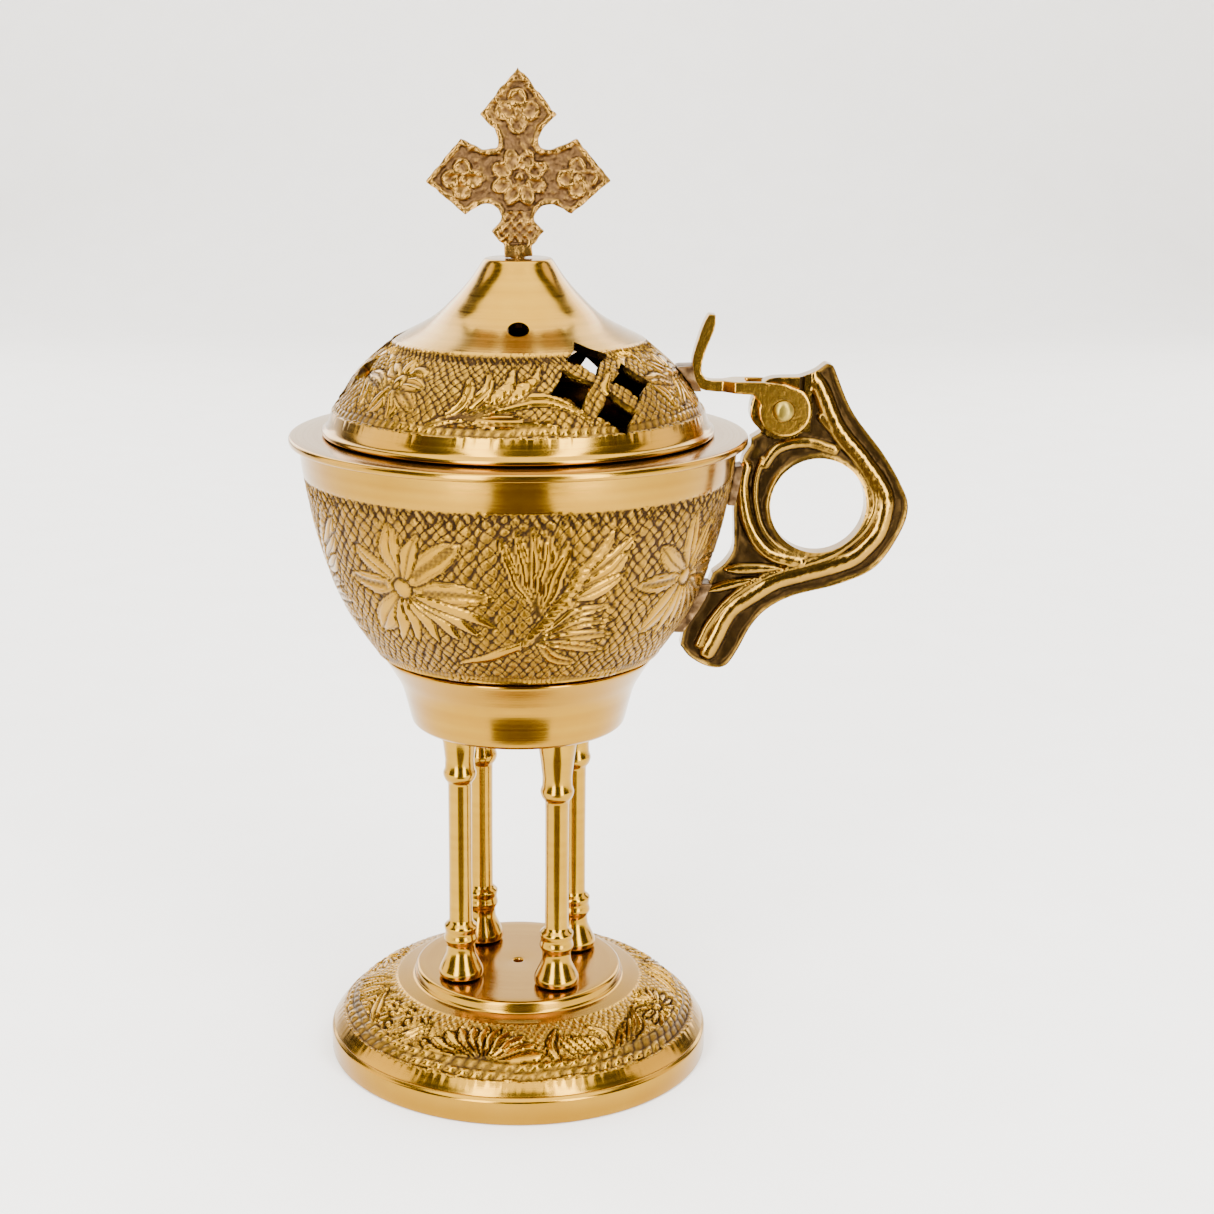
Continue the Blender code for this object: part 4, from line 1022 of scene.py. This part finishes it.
lug = [(50.8, 138.5, True), (48.6, 141.0), (48.3, 143.6), (49.0, 146.2), (50.6, 148.6), (52.8, 149.8),
       (58.6, 150.0, True)]
post = [(61.8, 151.3), (63.9, 152.9, True), (65.3, 152.3, True), (69.5, 142.9), (76.1, 134.2)]
sweep = [(80.0, 127.9), (82.0, 122.6), (80.5, 116.8), (75.6, 109.5), (68.0, 105.8), (58.5, 103.3)]
scroll = [(53.0, 100.4), (49.6, 96.6), (46.8, 91.2), (44.3, 87.8), (40.8, 87.6), (36.8, 89.7),
          (34.6, 92.4, True)]
lower_seat = off_bowl(1.9, 97.0, 102.0)
inner = [(41.2, 108.2, True), (43.7, 110.3), (45.4, 113.3), (45.5, 117.5), (45.3, 122.0, True)]
upper_seat = off_bowl(1.5, 124.5, 129.0, 133.0)
under_lug = [(48.6, 135.7, True), (48.6, 137.2, True)]
HANDLE_EDGE = flowing(lug + post + sweep + scroll + lower_seat + inner + upper_seat + under_lug)
handle = plate("cast_handle", HANDLE_EDGE, 2.5)
HOLE_X, HOLE_Z, HOLE_R = 63.1, 122.7, 10.1    # the finger hole
cut_away(handle, drill(HOLE_X, HOLE_Z, HOLE_R, faces=96), drill(HINGE_X, HINGE_Z, 1.8))
cast(handle, 0.28, 3)

# Raised lines on each face, with half width and depth of the crest: bead, ridge, two rings and brow
RAISED = (([(60.3, 150.6), (62.9, 147.0), (66.6, 139.0), (71.9, 132.6), (75.8, 127.3), (77.2, 124.1),
            (77.1, 120.9), (75.9, 116.6), (73.2, 113.3), (70.6, 111.1), (66.0, 109.4), (59.7, 107.7),
            (54.4, 106.1), (50.3, 103.5), (46.1, 100.7), (44.0, 98.0), (42.0, 93.6), (40.6, 90.9)],
           1.95, 0.0),
          ([(63.2, 141.5), (68.1, 135.8), (72.6, 130.0), (74.7, 126.0), (75.0, 121.9), (73.3, 117.9),
            (70.6, 115.0), (66.6, 112.2), (60.7, 110.0), (54.4, 108.1), (48.8, 105.4), (44.2, 101.6),
            (40.6, 96.9), (38.6, 92.5)], 1.0, 0.25),
          ([(47.6, 131.0), (47.0, 127.5), (47.6, 122.0), (48.8, 118.2), (51.0, 114.4), (54.3, 111.7),
            (59.6, 110.4)], 1.5, 0.05),
          ([(51.2, 132.5), (50.0, 128.4), (50.0, 123.5), (51.7, 117.6), (55.6, 113.3), (60.7, 111.6)],
           0.8, 0.38),
          ([(51.8, 131.6), (53.6, 134.3), (56.3, 135.7), (60.9, 136.1), (66.1, 134.6)], 1.3, 0.20))
# Stalk, tip and half width of the two small leaves
LEAVES = (((43.6, 108.9), (57.0, 109.3), 1.35), ((39.6, 104.2), (51.8, 107.3), 1.15))


def handle_depth(x, z):
    """How far each place lies below the top of the bead."""
    edge = off_line(x, z, HANDLE_EDGE, True)
    depth = 0.86 + 0.10 * sand_lumps(x, z, 3.5, 9.0, 11)
    depth = np.minimum(depth, 0.50 + 0.5 * np.clip((edge - 0.45) / 0.9, 0, 1))
    rim = np.abs(np.hypot(x - HOLE_X, z - HOLE_Z) - HOLE_R)
    depth = np.minimum(depth, 0.35 + 0.6 * np.clip((rim - 0.5) / 1.3, 0, 1))
    for path, wide, height in RAISED:
        gap = np.clip(off_line(x, z, smooth_run(path, 1.2)) / wide, 0, 1)
        depth = np.minimum(depth, height + (0.98 - height) * (1 - np.sqrt(1 - gap ** 2)))
    for tail, tip, wide in LEAVES:
        axis = np.array([tip[0] - tail[0], tip[1] - tail[1]])
        size = hypot(*axis)
        along = ((x - tail[0]) * axis[0] + (z - tail[1]) * axis[1]) / size ** 2
        aside = np.abs((x - tail[0]) * axis[1] - (z - tail[1]) * axis[0]) / size
        room = wide * np.sin(pi * np.clip(along, 0, 1) ** 0.7) ** 0.8
        crown = 0.05 + 0.6 * (aside / np.maximum(room, 0.1)) ** 2
        depth = np.where((along > 0) & (along < 1) & (aside < room), crown, depth)
    flat = np.hypot(x - HINGE_X, z - HINGE_Z) < 6.4
    depth = np.where(flat | ((x < 61) & (z > 138.2)), 0.12, depth)
    seam = (z > 139) & (np.abs(x - 58.8) < 0.35)
    depth = depth + 0.014 * sand_lumps(x, z, 1.4, 3.4, 12)
    return np.where(seam, 0.9, depth)


model_faces(handle, 2.5, 1.25, handle_depth)
finish_with(handle, cast_brass("cast_brass_antiqued", "94702A", "382810", "20150A", 0.15, 0.00010))
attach(handle, "stand")
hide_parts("handle")

# ---- Brazing -------------------------------------------------------------------------------------
# Pads of braze metal between bowl and handle and between dome and lever: pinkish, dull and lumpy.


def braze(name):
    """Copper-rich braze run in by torch: pinkish grey, matt, puddled, with darker flux stains."""
    material, tree, shader = new_material(name)
    place = add(tree, "TexCoord", out="Object")
    puddle = add(tree, "TexNoise", {"Vector": place, "Scale": 380.0, "Detail": 4.0})
    stain = add(tree, "MapRange", {0: puddle, 1: 0.42, 2: 0.62, 3: 0.0, 4: 1.0})
    tone = add(tree, "Mix", {0: stain, 6: linear("7C6040"), 7: linear("46331F")}, out=2, data_type="RGBA")
    rough = add(tree, "MapRange", {0: puddle, 1: 0.3, 2: 0.7, 3: 0.32, 4: 0.55})
    bump = add(tree, "Bump", {"Height": puddle, "Distance": 0.0003, "Strength": 0.8})
    feed(shader, {"Base Color": tone, "Metallic": 1.0, "Roughness": rough, "Normal": bump})
    return material


BRAZE = braze("torch_run_braze")
pads = {"handle_solder_upper": off_bowl(0.02, 131.2, 128.0, 125.0, 123.0)
        + off_bowl(1.75, 122.8, 126.0, 131.4),
        "handle_solder_lower": off_bowl(0.02, 106.0, 102.5, 99.0, 95.5)
        + off_bowl(2.3, 95.4, 99.0, 102.5, 106.0)}
dome_side = [(radius_at(z, LID_DOME), z) for z in (147.0, 149.0, 151.0, 152.2)]
pads["arm_solder"] = dome_side + [(36.2, 152.4), (36.3, 151.0), (36.9, 149.1), (37.7, 147.7), (38.2, 147.0)]
for node, outline in pads.items():
    pad = plate("braze_" + node, outline, 3.1)
    cast(pad, 0.22, 4)
    co = corners(pad)
    swell = 0.18 * np.sin(2.1 * co[:, 2] + 0.7 * co[:, 1]) * np.sin(1.7 * co[:, 1] + 0.9 * co[:, 0])
    co[:, 1] += np.sign(co[:, 1]) * swell * (np.abs(co[:, 1]) > 1.5)
    move_corners(pad, co)
    finish_with(pad, BRAZE)
    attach(pad, "lid" if node == "arm_solder" else "stand")
    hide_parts(node)
